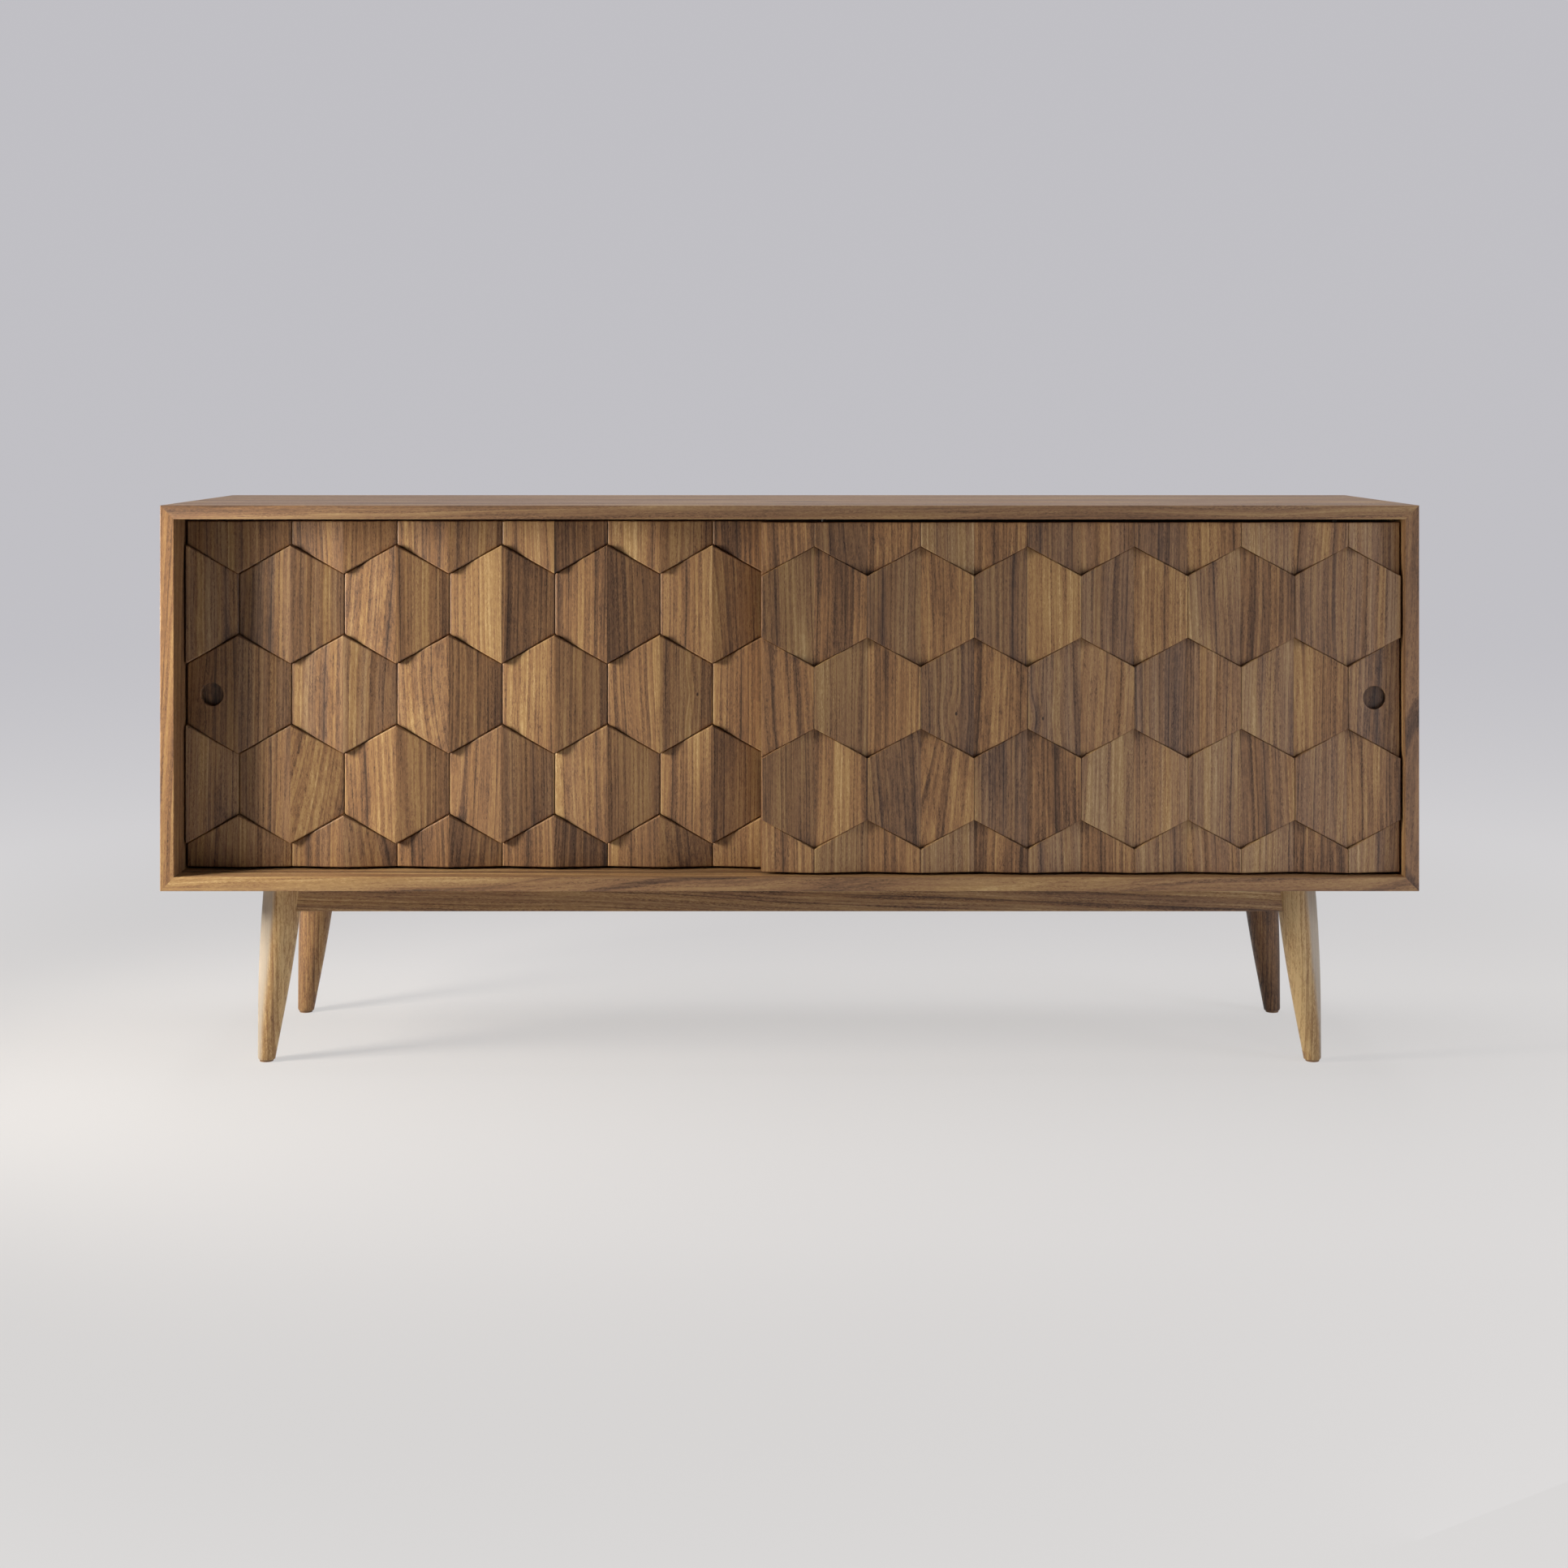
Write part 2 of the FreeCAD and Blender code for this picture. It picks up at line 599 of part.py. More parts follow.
def door(name, left, core_y, track_y, tall_parity, pull_column):
    """A door: backing panel, tiles, rollers below and guides above."""
    tile_rows(name, left, core_y, tall_parity, pull_column)
    first = f"{left} + roller_inset"
    last = f"{left} + door_width - roller_inset"
    sockets = roller_set(name, (("left", first), ("right", last)), track_y)
    guides = top_guides(name, (f"{left} + guide_inset", f"{left} + door_width - guide_inset"),
                        track_y)
    blank = box(f"{name}_core_blank", (left, f"{left} + door_width"),
                (core_y, f"{core_y} + core_thickness"), ("door_bottom_z", "door_top_z"))
    cut(f"{name}_core", blank, sockets + [guides])


# --- The leg frame ---------------------------------------------------------------------

def turned_leg(name, side, end):
    """A turned leg, leaning out and cut level at the floor glide and at the case."""
    blank = new_body(f"{name}_turned")
    sketch = sketch_on(blank, "XZ_Plane", "0")
    foot = ("leg_foot_diameter / 2", "-leg_trim")
    shin = ("leg_shin_diameter / 2", "leg_shin_height")
    calf = ("leg_calf_diameter / 2", "leg_calf_height")
    top = ("leg_top_diameter / 2", "leg_length + leg_trim")
    corners = [("0", foot[1]), foot, shin, top, ("0", top[1])]
    points = [FreeCAD.Vector(value(u), value(v), 0) for u, v in corners]
    middle = FreeCAD.Vector(value(calf[0]), value(calf[1]), 0)
    edges = [Part.LineSegment(points[0], points[1]), Part.LineSegment(points[1], points[2]),
             Part.Arc(points[2], middle, points[3]),
             Part.LineSegment(points[3], points[4]), Part.LineSegment(points[4], points[0])]
    for edge in edges:
        sketch.addGeometry(edge)
    calf_point = sketch.addGeometry(Part.Point(middle), True)
    swell = sketch.Geometry[2]
    arc_starts_low = swell.StartPoint.y < swell.EndPoint.y
    arc_low, arc_high = (1, 2) if arc_starts_low else (2, 1)
    for first, first_end, second, second_end in (
            (0, 2, 1, 1), (1, 2, 2, arc_low), (2, arc_high, 3, 1), (3, 2, 4, 1), (4, 2, 0, 1)):
        sketch.addConstraint(
            Sketcher.Constraint("Coincident", first, first_end, second, second_end))
    for index, corner in ((0, corners[0]), (1, foot), (3, top), (4, corners[4])):
        hold(sketch, index, 1, corner)
    hold(sketch, 1, 2, shin)
    hold(sketch, calf_point, 1, calf)
    sketch.addConstraint(Sketcher.Constraint("PointOnObject", calf_point, 1, 2))
    turned = blank.newObject("PartDesign::Revolution", f"{name}_revolution")
    turned.Profile = sketch
    turned.ReferenceAxis = (sketch, ["V_Axis"])
    turned.Angle = 360
    place(blank, f"{side} * leg_foot_x", f"{end} * leg_y", "0", (0, -side, 0), "leg_splay")
    reach = "leg_top_diameter"
    slab = box(f"{name}_level_cuts",
               (f"{side} * rail_axis_x - {reach}", f"{side} * rail_axis_x + {reach}"),
               (f"{end} * leg_y - {reach}", f"{end} * leg_y + {reach}"),
               ("glide_thickness", "floor_clearance"))
    levelled = doc.addObject("Part::Common", f"{name}_levelled")
    levelled.Base = blank
    levelled.Tool = slab
    return levelled


def tenon(x_low, x_high, y_low, y_high):
    """A tenon between two legs' mortises, as high as the rail less its shoulders."""
    return box("tenon", (x_low, x_high), (y_low, y_high),
               ("rail_bottom_z + tenon_shoulder", "floor_clearance - tenon_shoulder"))


def frame_screws():
    """Screws that hold the case down on the rails, and their pockets in the rails."""
    places = [(f"{step} * (rail_axis_x - frame_screw_inset)", f"{end} * leg_y")
              for end in (-1, 1) for step in (-1, 0, 1)]
    places += [(f"{side} * rail_axis_x", f"{step} * side_screw_spacing / 2")
               for side in (-1, 1) for step in (-1, 1)]
    screws = []
    pockets = []
    for x, y in places:
        head_z = "rail_bottom_z + counterbore_depth"
        shank = cylinder("frame_screw_shank", "frame_screw_diameter",
                         f"floor_clearance + frame_screw_bite - ({head_z})", x, y, head_z)
        head = cone("frame_screw_head", "frame_screw_head", "frame_screw_diameter",
                    "(frame_screw_head - frame_screw_diameter) / 2", x, y, head_z)
        screws.append(fuse("frame_screw", [shank, head]))
        pockets.append(cylinder("screw_pocket", "counterbore_diameter", "counterbore_depth",
                                x, y, "rail_bottom_z"))
    return group("frame_screws", screws), group("screw_pockets", pockets)


def leg_frame(screws, pockets):
    """Four legs, four rails tenoned into them, and the floor glides."""
    half = "rail_thickness / 2"
    tenon_half = "tenon_thickness / 2"
    heights = ("rail_bottom_z", "floor_clearance")
    corners = {}
    for end, end_name in ((-1, "front"), (1, "rear")):
        for side, side_name in ((-1, "left"), (1, "right")):
            name = f"{end_name}_{side_name}_leg"
            corners[end, side] = {"name": name, "blank": turned_leg(name, side, end),
                                  "tools": []}
    for end, end_name in ((-1, "front"), (1, "rear")):
        y = f"{end} * leg_y"
        blank = box(f"{end_name}_rail_blank", ("-rail_axis_x", "rail_axis_x"),
                    (f"{y} - {half}", f"{y} + {half}"), heights)
        coped = cut(f"{end_name}_rail_coped", blank,
                    [corners[end, -1]["blank"], corners[end, 1]["blank"]])
        ys = (f"{y} - {tenon_half}", f"{y} + {tenon_half}")
        left = tenon("-rail_axis_x + tenon_root", "-rail_axis_x + tenon_root + tenon_overlap",
                     *ys)
        right = tenon("rail_axis_x - tenon_root - tenon_overlap", "rail_axis_x - tenon_root",
                      *ys)
        corners[end, -1]["tools"].append(left)
        corners[end, 1]["tools"].append(right)
        joined = fuse(f"{end_name}_rail_joined", [coped, left, right])
        cut(f"{end_name}_rail", joined, [screws, pockets])
    for side, side_name in ((-1, "left"), (1, "right")):
        x = f"{side} * rail_axis_x"
        blank = box(f"{side_name}_rail_blank", (f"{x} - {half}", f"{x} + {half}"),
                    ("-leg_y", "leg_y"), heights)
        coped = cut(f"{side_name}_rail_coped", blank,
                    [corners[-1, side]["blank"], corners[1, side]["blank"]])
        xs = (f"{x} - {tenon_half}", f"{x} + {tenon_half}")
        front = tenon(*xs, "-leg_y + tenon_root", "-leg_y + tenon_root + tenon_overlap")
        rear = tenon(*xs, "leg_y - tenon_root - tenon_overlap", "leg_y - tenon_root")
        corners[-1, side]["tools"].append(front)
        corners[1, side]["tools"].append(rear)
        joined = fuse(f"{side_name}_rail_joined", [coped, front, rear])
        cut(f"{side_name}_rail", joined, [screws, pockets])
    glides = []
    for (end, side), corner in corners.items():
        x = f"{side} * leg_foot_x"
        y = f"{end} * leg_y"
        disc = cylinder("glide_disc", "glide_diameter", "glide_thickness", x, y, "0")
        spigot = cylinder("glide_spigot", "glide_spigot_diameter",
                          "glide_thickness + glide_spigot_length", x, y, "0")
        glides.append(fuse("floor_glide", [disc, spigot]))
        cut(corner["name"], corner["blank"], corner["tools"] + [spigot])
    group("floor_glides", glides)


# --- The whole sideboard -----------------------------------------------------------------

NODES = ["top_panel", "bottom_panel", "left_side_panel", "right_side_panel", "back_panel",
         "back_panel_screws", "mitre_splines", "centre_divider", "divider_dowels",
         "left_shelf", "right_shelf", "shelf_pins", "front_bottom_track",
         "rear_bottom_track", "front_top_track", "rear_top_track", "front_rail", "rear_rail",
         "left_rail", "right_rail", "frame_screws", "front_left_leg", "front_right_leg",
         "rear_left_leg", "rear_right_leg", "floor_glides"]
DOOR_NODES = ["core", "roller_housings", "roller_axles", "left_wheel", "right_wheel",
              "top_guides"] + [f"tile_row_{row + 1}" for row in range(ROWS)]
for door_name in ("left_door", "right_door"):
    NODES += [f"{door_name}_{node}" for node in DOOR_NODES]


def check(nodes):
    """Stop if anything failed to build."""
    for thing in doc.Objects:
        if {"Invalid", "Error"} & set(thing.State):
            raise RuntimeError(f"{thing.Name} ({thing.Label}): {thing.State}")
    for label, thing in nodes.items():
        if thing.Shape.isNull() or not thing.Shape.isValid() or not thing.Shape.Solids:
            raise RuntimeError(f"{label} has no valid solid")


sheet = make_sheet()
spline_group = mitre_splines()
back_screw_group = back_screws()
dowel_group, dowel_hole_group = divider_dowels()
pin_group = shelf_pins()
frame_screw_group, pocket_group = frame_screws()
case_boards(spline_group, back_screw_group, dowel_hole_group, pin_group, frame_screw_group)
case_inside(dowel_hole_group, back_screw_group, pin_group)
track_channels()
door("left_door", "-opening_half + door_side_gap", "rear_core_y", "rear_track_y", 1, 0)
door("right_door", "opening_half - door_side_gap - door_width", "front_core_y",
     "front_track_y", 0, HALVES - 1)
leg_frame(frame_screw_group, pocket_group)
doc.recompute()

labels = {thing.Label: thing for thing in doc.Objects}
nodes = {label: labels[label] for label in NODES}
check(nodes)
os.makedirs("parts", exist_ok=True)
for label, thing in nodes.items():
    thing.Shape.exportStep(os.path.join("parts", f"{label}.step"))
    print(f"{label}: {len(thing.Shape.Solids)} solids, {thing.Shape.Volume / 1000:.1f} cm3")
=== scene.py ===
"""A walnut sideboard with sliding doors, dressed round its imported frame.

The case is mitred walnut on a turned leg frame.  Each of the two doors is faced with half
hexagons, and every half is its own piece of wood with its own grain.  Lengths are in
metres: +X runs to the right, +Y to the back and +Z up, from a point on the floor.
"""

import logging
import math
import random
from dataclasses import dataclass, field, replace
from enum import Enum
from typing import Callable, Iterable, Sequence

import bmesh
import bpy
import numpy as np
from mathutils import Matrix, Vector


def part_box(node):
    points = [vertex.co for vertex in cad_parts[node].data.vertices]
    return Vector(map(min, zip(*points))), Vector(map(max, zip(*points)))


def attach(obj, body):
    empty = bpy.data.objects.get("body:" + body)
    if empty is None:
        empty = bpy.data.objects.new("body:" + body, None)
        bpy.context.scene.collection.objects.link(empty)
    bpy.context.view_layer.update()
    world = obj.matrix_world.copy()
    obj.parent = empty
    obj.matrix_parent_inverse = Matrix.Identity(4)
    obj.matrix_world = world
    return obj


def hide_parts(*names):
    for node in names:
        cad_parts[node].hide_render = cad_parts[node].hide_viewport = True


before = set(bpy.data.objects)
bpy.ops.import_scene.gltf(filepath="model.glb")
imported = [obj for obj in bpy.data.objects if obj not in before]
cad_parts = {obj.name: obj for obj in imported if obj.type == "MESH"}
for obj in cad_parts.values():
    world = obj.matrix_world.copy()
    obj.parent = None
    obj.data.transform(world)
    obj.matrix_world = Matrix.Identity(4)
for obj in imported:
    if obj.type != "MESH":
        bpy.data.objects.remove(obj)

LOG = logging.getLogger("sideboard")
SAME_SPOT = 1e-6  # Corners closer than this are one corner.

Colour = tuple[float, float, float]
Point = tuple[float, float, float]


def srgb(text: str) -> Colour:
    """Turn a colour written as six hex digits into linear light.

    Args:
        text: The colour, such as "A07850".

    Returns:
        Its red, green and blue shares.
    """
    shares = [int(text[place:place + 2], 16) / 255 for place in (0, 2, 4)]
    return tuple(c / 12.92 if c <= 0.04045 else ((c + 0.055) / 1.055) ** 2.4 for c in shares)


# --- Node graphs -----------------------------------------------------------------------


class Graph:
    """The node tree of one material, with short calls that add and join nodes."""

    def __init__(self, name: str) -> None:
        """Start a material that holds a Principled shader.

        Args:
            name: The material's name.
        """
        self.material: bpy.types.Material = bpy.data.materials.new(name)
        self.material.use_nodes = True
        self.tree: bpy.types.NodeTree = self.material.node_tree
        self.shader: bpy.types.Node = self.found("BSDF_PRINCIPLED")
        self.output: bpy.types.Node = self.found("OUTPUT_MATERIAL")

    def found(self, kind: str) -> bpy.types.Node:
        """The first node of a kind."""
        return next(node for node in self.tree.nodes if node.type == kind)

    def add(self, kind: str, **settings: object) -> bpy.types.Node:
        """Add a node.

        Args:
            kind: The node's type.
            **settings: Its properties.

        Returns:
            The new node.
        """
        node = self.tree.nodes.new(kind)
        for name, value in settings.items():
            setattr(node, name, value)
        return node

    def feed(self, socket: bpy.types.NodeSocket, source: object) -> None:
        """Join a socket to another one, or set it to a value.

        Args:
            socket: The socket to fill.
            source: The socket or the value that fills it.
        """
        if isinstance(source, bpy.types.NodeSocket):
            self.tree.links.new(source, socket)
        else:
            socket.default_value = source

    def math(self, operation: str, *terms: object, clamp: bool = False) -> bpy.types.NodeSocket:
        """Work a formula step out on numbers.

        Args:
            operation: The Math node's operation.
            *terms: Up to three sockets or numbers.
            clamp: Whether the result is kept between 0 and 1.

        Returns:
            The result's socket.
        """
        node = self.add("ShaderNodeMath", operation=operation, use_clamp=clamp)
        for socket, term in zip(node.inputs, terms):
            self.feed(socket, term)
        return node.outputs[0]

    def vector(self, operation: str, *terms: object) -> bpy.types.NodeSocket:
        """Work a formula step out on vectors.

        Args:
            operation: The Vector Math node's operation.
            *terms: Sockets or triples.

        Returns:
            The result's socket: a number for a length, otherwise a vector.
        """
        node = self.add("ShaderNodeVectorMath", operation=operation)
        for socket, term in zip(node.inputs, terms):
            self.feed(socket, term)
        return node.outputs["Value" if operation in ("LENGTH", "DOT_PRODUCT") else "Vector"]

    def split(self, source: bpy.types.NodeSocket) -> list[bpy.types.NodeSocket]:
        """Take a vector apart.

        Args:
            source: The vector's socket.

        Returns:
            The sockets of its three parts.
        """
        node = self.add("ShaderNodeSeparateXYZ")
        self.feed(node.inputs[0], source)
        return list(node.outputs)

    def joined(self, *parts: object) -> bpy.types.NodeSocket:
        """Make a vector.

        Args:
            *parts: Its three parts, as sockets or numbers.

        Returns:
            The vector's socket.
        """
        node = self.add("ShaderNodeCombineXYZ")
        for socket, part in zip(node.inputs, parts):
            self.feed(socket, part)
        return node.outputs[0]

    def attribute(self, name: str) -> bpy.types.NodeSocket:
        """The vector attribute of that name."""
        return self.add("ShaderNodeAttribute", attribute_name=name).outputs["Vector"]

    def noise(self, where: object, scale: float = 1.0, detail: float = 2.0,
              roughness: float = 0.5, flat: bool = False) -> bpy.types.Node:
        """Add a noise pattern.

        Args:
            where: The place to read it at: a vector, or a number if flat.
            scale: Repeats for each unit.
            detail: How many finer layers it has.
            roughness: How strong the finer layers are.
            flat: Whether it runs along one number only.

        Returns:
            The node, with outputs Fac and Color.
        """
        node = self.add("ShaderNodeTexNoise", noise_dimensions="1D" if flat else "3D")
        self.feed(node.inputs["W" if flat else "Vector"], where)
        node.inputs["Scale"].default_value = scale
        node.inputs["Detail"].default_value = detail
        node.inputs["Roughness"].default_value = roughness
        return node

    def swing(self, pattern: bpy.types.NodeSocket, weight: float,
              base: object) -> bpy.types.NodeSocket:
        """Move a number up and down as a pattern leaves its middle, 0.5.

        Args:
            pattern: The pattern's socket.
            weight: How far the number moves for each unit of the pattern.
            base: The number, or its socket.

        Returns:
            The moved number's socket.
        """
        return self.math("MULTIPLY_ADD", self.math("SUBTRACT", pattern, 0.5), weight, base)

    def spread(self, source: object, low: float, high: float,
               to_low: float = 0.0, to_high: float = 1.0) -> bpy.types.NodeSocket:
        """Map a number smoothly from one range to another, and hold it at the ends.

        Args:
            source: The number's socket.
            low: Start of its range.
            high: End of its range.
            to_low: What the start becomes.
            to_high: What the end becomes.

        Returns:
            The mapped number's socket.
        """
        node = self.add("ShaderNodeMapRange", interpolation_type="SMOOTHSTEP")
        for socket, value in zip(node.inputs, (source, low, high, to_low, to_high)):
            self.feed(socket, value)
        return node.outputs[0]

    def mix(self, share: object, first: object, second: object,
            mode: str = "MIX") -> bpy.types.NodeSocket:
        """Mix two colours.

        Args:
            share: How much of the second goes in.
            first: A socket or a colour.
            second: A socket or a colour.
            mode: How they are mixed.

        Returns:
            The mixed colour's socket.
        """
        node = self.add("ShaderNodeMix", data_type="RGBA", blend_type=mode)
        colours = [(*c, 1.0) if isinstance(c, tuple) else c for c in (first, second)]
        factor, first_colour, second_colour = (node.inputs[place] for place in (0, 6, 7))
        self.feed(factor, share)
        self.feed(first_colour, colours[0])
        self.feed(second_colour, colours[1])
        return node.outputs[2]

    def faded(self, colour: bpy.types.NodeSocket, saturation: float,
              value: float) -> bpy.types.NodeSocket:
        """Make a colour less strong and less light.

        Args:
            colour: The colour's socket.
            saturation: Share of its strength that stays.
            value: Share of its light that stays.

        Returns:
            The faded colour's socket.
        """
        node = self.add("ShaderNodeHueSaturation")
        node.inputs["Saturation"].default_value = saturation
        node.inputs["Value"].default_value = value
        self.feed(node.inputs["Color"], colour)
        return node.outputs[0]

    def ramp(self, source: object, stops: Sequence[tuple[float, Colour]]) -> bpy.types.NodeSocket:
        """Turn a number into a colour.

        Args:
            source: The number's socket.
            stops: Pairs of a place from 0 to 1 and the colour there.

        Returns:
            The colour's socket.
        """
        node = self.add("ShaderNodeValToRGB")
        elements = node.color_ramp.elements
        while len(elements) < len(stops):
            elements.new(1.0)
        for element, (place, colour) in zip(elements, stops):
            element.position = place
            element.color = (*colour, 1.0)
        self.feed(node.inputs[0], source)
        return node.outputs[0]

    def relief(self, height: object, depth: float) -> None:
        """Raise the surface by a height from 0 to 1.

        Args:
            height: The height's socket.
            depth: How high 1 is, in metres.
        """
        node = self.add("ShaderNodeBump")
        node.inputs["Strength"].default_value = 1.0
        node.inputs["Distance"].default_value = depth
        self.feed(node.inputs["Height"], height)
        self.feed(self.shader.inputs["Normal"], node.outputs[0])

    def dress(self, colour: object, roughness: object, **constants: float) -> None:
        """Set the shader's colour, roughness and constant sockets.

        Args:
            colour: A socket or a colour.
            roughness: A socket or a number.
            **constants: Other sockets by name, with _ for a space.
        """
        value = (*colour, 1.0) if isinstance(colour, tuple) else colour
        self.feed(self.shader.inputs["Base Color"], value)
        self.feed(self.shader.inputs["Roughness"], roughness)
        for name, number in constants.items():
            self.shader.inputs[name.replace("_", " ")].default_value = number


class Grain(Enum):
    """Where a wood reads its grain from."""

    SAWN = "written on each piece when it was sawn"
    LEVEL = "along X, for panels that lie level"
    UPRIGHT = "along Z, for panels that stand"


# --- Finishes --------------------------------------------------------------------------


@dataclass(frozen=True)
class Figure:
    """The patterns in a wood, each a socket from 0 to 1.

    Attributes:
        rings: The broad figure from the pith outwards.
        bands: A slower change from the pith outwards.
        lines: Fine dark lines along the rings.
        streaks: Long fine streaks along the grain.
        flecks: Short flecks along the grain.
        clouds: Soft patches.
        pores: Open pores, in rows of dashes.
    """

    rings: bpy.types.NodeSocket
    bands: bpy.types.NodeSocket
    lines: bpy.types.NodeSocket
    streaks: bpy.types.NodeSocket
    flecks: bpy.types.NodeSocket
    clouds: bpy.types.NodeSocket
    pores: bpy.types.NodeSocket


@dataclass(frozen=True)
class Walnut:
    """Oiled walnut, figured from the pith outwards; with other colours, another wood.

    Attributes:
        name: The material's name.
        grain: Where the grain is read from.
        deep: Colour of the darkest streaks.
        dark: Colour of the dark streaks.
        brown: Colour of the plain heartwood.
        tan: Colour of the light streaks.
        pale: Colour of the lightest streaks.
        ash: The grey that ashen pieces lean to.
        sapwood: Colour of the sapwood.
        contrast: How strongly the streaks differ.
        sway: How far the grain wanders, in metres.
        fine_sway: How far it wanders in small waves, in metres.
        roughness: Middle roughness of the oiled face.
        pore_depth: Depth of the pores, in metres.
    """

    name: str
    grain: Grain = Grain.SAWN
    deep: Colour = srgb("38271B")
    dark: Colour = srgb("644935")
    brown: Colour = srgb("936D4A")
    tan: Colour = srgb("B18E5E")
    pale: Colour = srgb("D2B583")
    ash: Colour = srgb("846E64")
    sapwood: Colour = srgb("B4ACA0")
    contrast: float = 1.0
    sway: float = 0.022
    fine_sway: float = 0.0020
    roughness: float = 0.46
    pore_depth: float = 0.00005

    def places(self, graph: Graph) -> list[bpy.types.NodeSocket]:
        """Read the place in the log, the wood's tone and the nearest knot.

        Args:
            graph: The material's nodes.

        Returns:
            The place, with Z along the grain; the shade, ash and sapwood depth; and the place
            from the knot across and along the grain, with its strength.
        """
        if self.grain is Grain.SAWN:
            return [graph.attribute(name) for name in ("grain", "tone", "knot")]
        x, y, z = graph.split(graph.add("ShaderNodeTexCoord").outputs["Object"])
        along, across = (x, z) if self.grain is Grain.LEVEL else (z, x)
        place = graph.joined(across, graph.math("ADD", y, 0.31), along)
        plain_tone, no_knot = (0.0, 0.2, -1.0), (1.0, 1.0, 0.0)
        return [place, graph.joined(*plain_tone), graph.joined(*no_knot)]

    def bend(self, graph: Graph, place: bpy.types.NodeSocket, reach: float, across: float,
             along: float) -> bpy.types.NodeSocket:
        """Move a place in the log sideways by a smooth pattern.

        Args:
            graph: The material's nodes.
            place: The place in the log.
            reach: How far it moves, in metres.
            across: Repeats of the pattern for each metre across the grain.
            along: Repeats for each metre along it.

        Returns:
            The moved place.
        """
        scaled = graph.vector("MULTIPLY", place, (across, across, along))
        pattern = graph.noise(scaled, detail=1.5).outputs["Color"]
        offset = graph.vector("SUBTRACT", pattern, (0.5, 0.5, 0.5))
        return graph.vector("MULTIPLY_ADD", offset, (reach, reach, 0.0), place)

    def drawn_out(self, graph: Graph, place: bpy.types.NodeSocket, across: float, along: float,
                  detail: float, roughness: float = 0.5) -> bpy.types.NodeSocket:
        """Make a pattern that is longer along the grain than across it.

        Args:
            graph: The material's nodes.
            place: The place in the log.
            across: Repeats for each metre across the grain.
            along: Repeats for each metre along it.
            detail: How many finer layers it has.
            roughness: How strong the finer layers are.

        Returns:
            The pattern's socket.
        """
        scaled = graph.vector("MULTIPLY", place, (across, across, along))
        return graph.noise(scaled, detail=detail, roughness=roughness).outputs[0]

    def radius(self, graph: Graph, place: bpy.types.NodeSocket, beside: bpy.types.NodeSocket,
               gap: bpy.types.NodeSocket,
               strength: bpy.types.NodeSocket) -> bpy.types.NodeSocket:
        """Work out how far from the pith a place grew, with the rings swollen round a knot.

        Args:
            graph: The material's nodes.
            place: The place in the log.
            beside: Distance from the knot across the grain.
            gap: Distance from the knot.
            strength: The knot's strength.

        Returns:
            The radius, in metres.
        """
        near = graph.math("EXPONENT",
                          graph.math("MULTIPLY", graph.math("MULTIPLY", gap, gap), -3200.0))
        plain = graph.vector("LENGTH", graph.vector("MULTIPLY", place, (1.0, 1.0, 0.0)))
        push = graph.math("MULTIPLY_ADD", beside, -0.8, 0.006)
        return graph.math("MULTIPLY_ADD", graph.math("MULTIPLY", strength, near), push, plain)

    def figure(self, graph: Graph, place: bpy.types.NodeSocket,
               radius: bpy.types.NodeSocket) -> Figure:
        """Make the patterns of the wood.

        Args:
            graph: The material's nodes.
            place: The place in the log.
            radius: Its distance from the pith.

        Returns:
            The patterns.
        """
        other_rings = graph.math("ADD", radius, 7.3)
        rows = graph.spread(self.drawn_out(graph, place, 330.0, 3.0, 1.5), 0.48, 0.60)
        dashes = graph.spread(self.drawn_out(graph, place, 1000.0, 230.0, 1.0), 0.45, 0.62)
        return Figure(
            rings=graph.noise(radius, scale=36.0, detail=5.0, roughness=0.78,
                              flat=True).outputs[0],
            bands=graph.noise(other_rings, scale=42.0, detail=1.0, flat=True).outputs[0],
            lines=graph.spread(
                graph.noise(radius, scale=260.0, detail=1.0, flat=True).outputs[0], 0.42, 0.30),
            streaks=self.drawn_out(graph, place, 250.0, 5.0, 3.0, 0.65),
            flecks=self.drawn_out(graph, place, 430.0, 110.0, 3.5, 0.85),
            clouds=self.drawn_out(graph, place, 26.0, 4.0, 2.0),
            pores=graph.math("MULTIPLY", rows, dashes))

    def heartwood(self, graph: Graph, figure: Figure, shade: bpy.types.NodeSocket,
                  ashen: bpy.types.NodeSocket,
                  core: bpy.types.NodeSocket) -> bpy.types.NodeSocket:
        """Colour the heartwood.

        Args:
            graph: The material's nodes.
            figure: The patterns of the wood.
            shade: The piece's shade.
            ashen: How ashen the piece is, from 0 to 1.
            core: The dark core of a knot, from 0 to 1.

        Returns:
            The colour's socket.
        """
        level = graph.math("MULTIPLY_ADD", shade, 0.13, 0.55)
        for pattern, weight in ((figure.rings, 1.25), (figure.bands, 0.3),
                                (figure.streaks, 0.5), (figure.flecks, 0.65),
                                (figure.clouds, 0.55)):
            level = graph.swing(pattern, weight * self.contrast, level)
        for pattern, weight in ((figure.lines, -0.14), (figure.pores, -0.17)):
            level = graph.math("MULTIPLY_ADD", pattern, weight * self.contrast, level)
        level = graph.math("SUBTRACT", level, core, clamp=True)
        warm = graph.ramp(level, ((0.0, self.deep), (0.25, self.dark), (0.5, self.brown),
                                  (0.75, self.tan), (1.0, self.pale)))
        grey = graph.mix(0.3, graph.faded(warm, 0.62, 0.97), self.ash)
        greyness = graph.math("MULTIPLY", graph.spread(figure.bands, 0.62, 0.38, 0.1, 1.0),
                              ashen)
        return graph.mix(graph.math("MULTIPLY", greyness, 0.8), warm, grey)

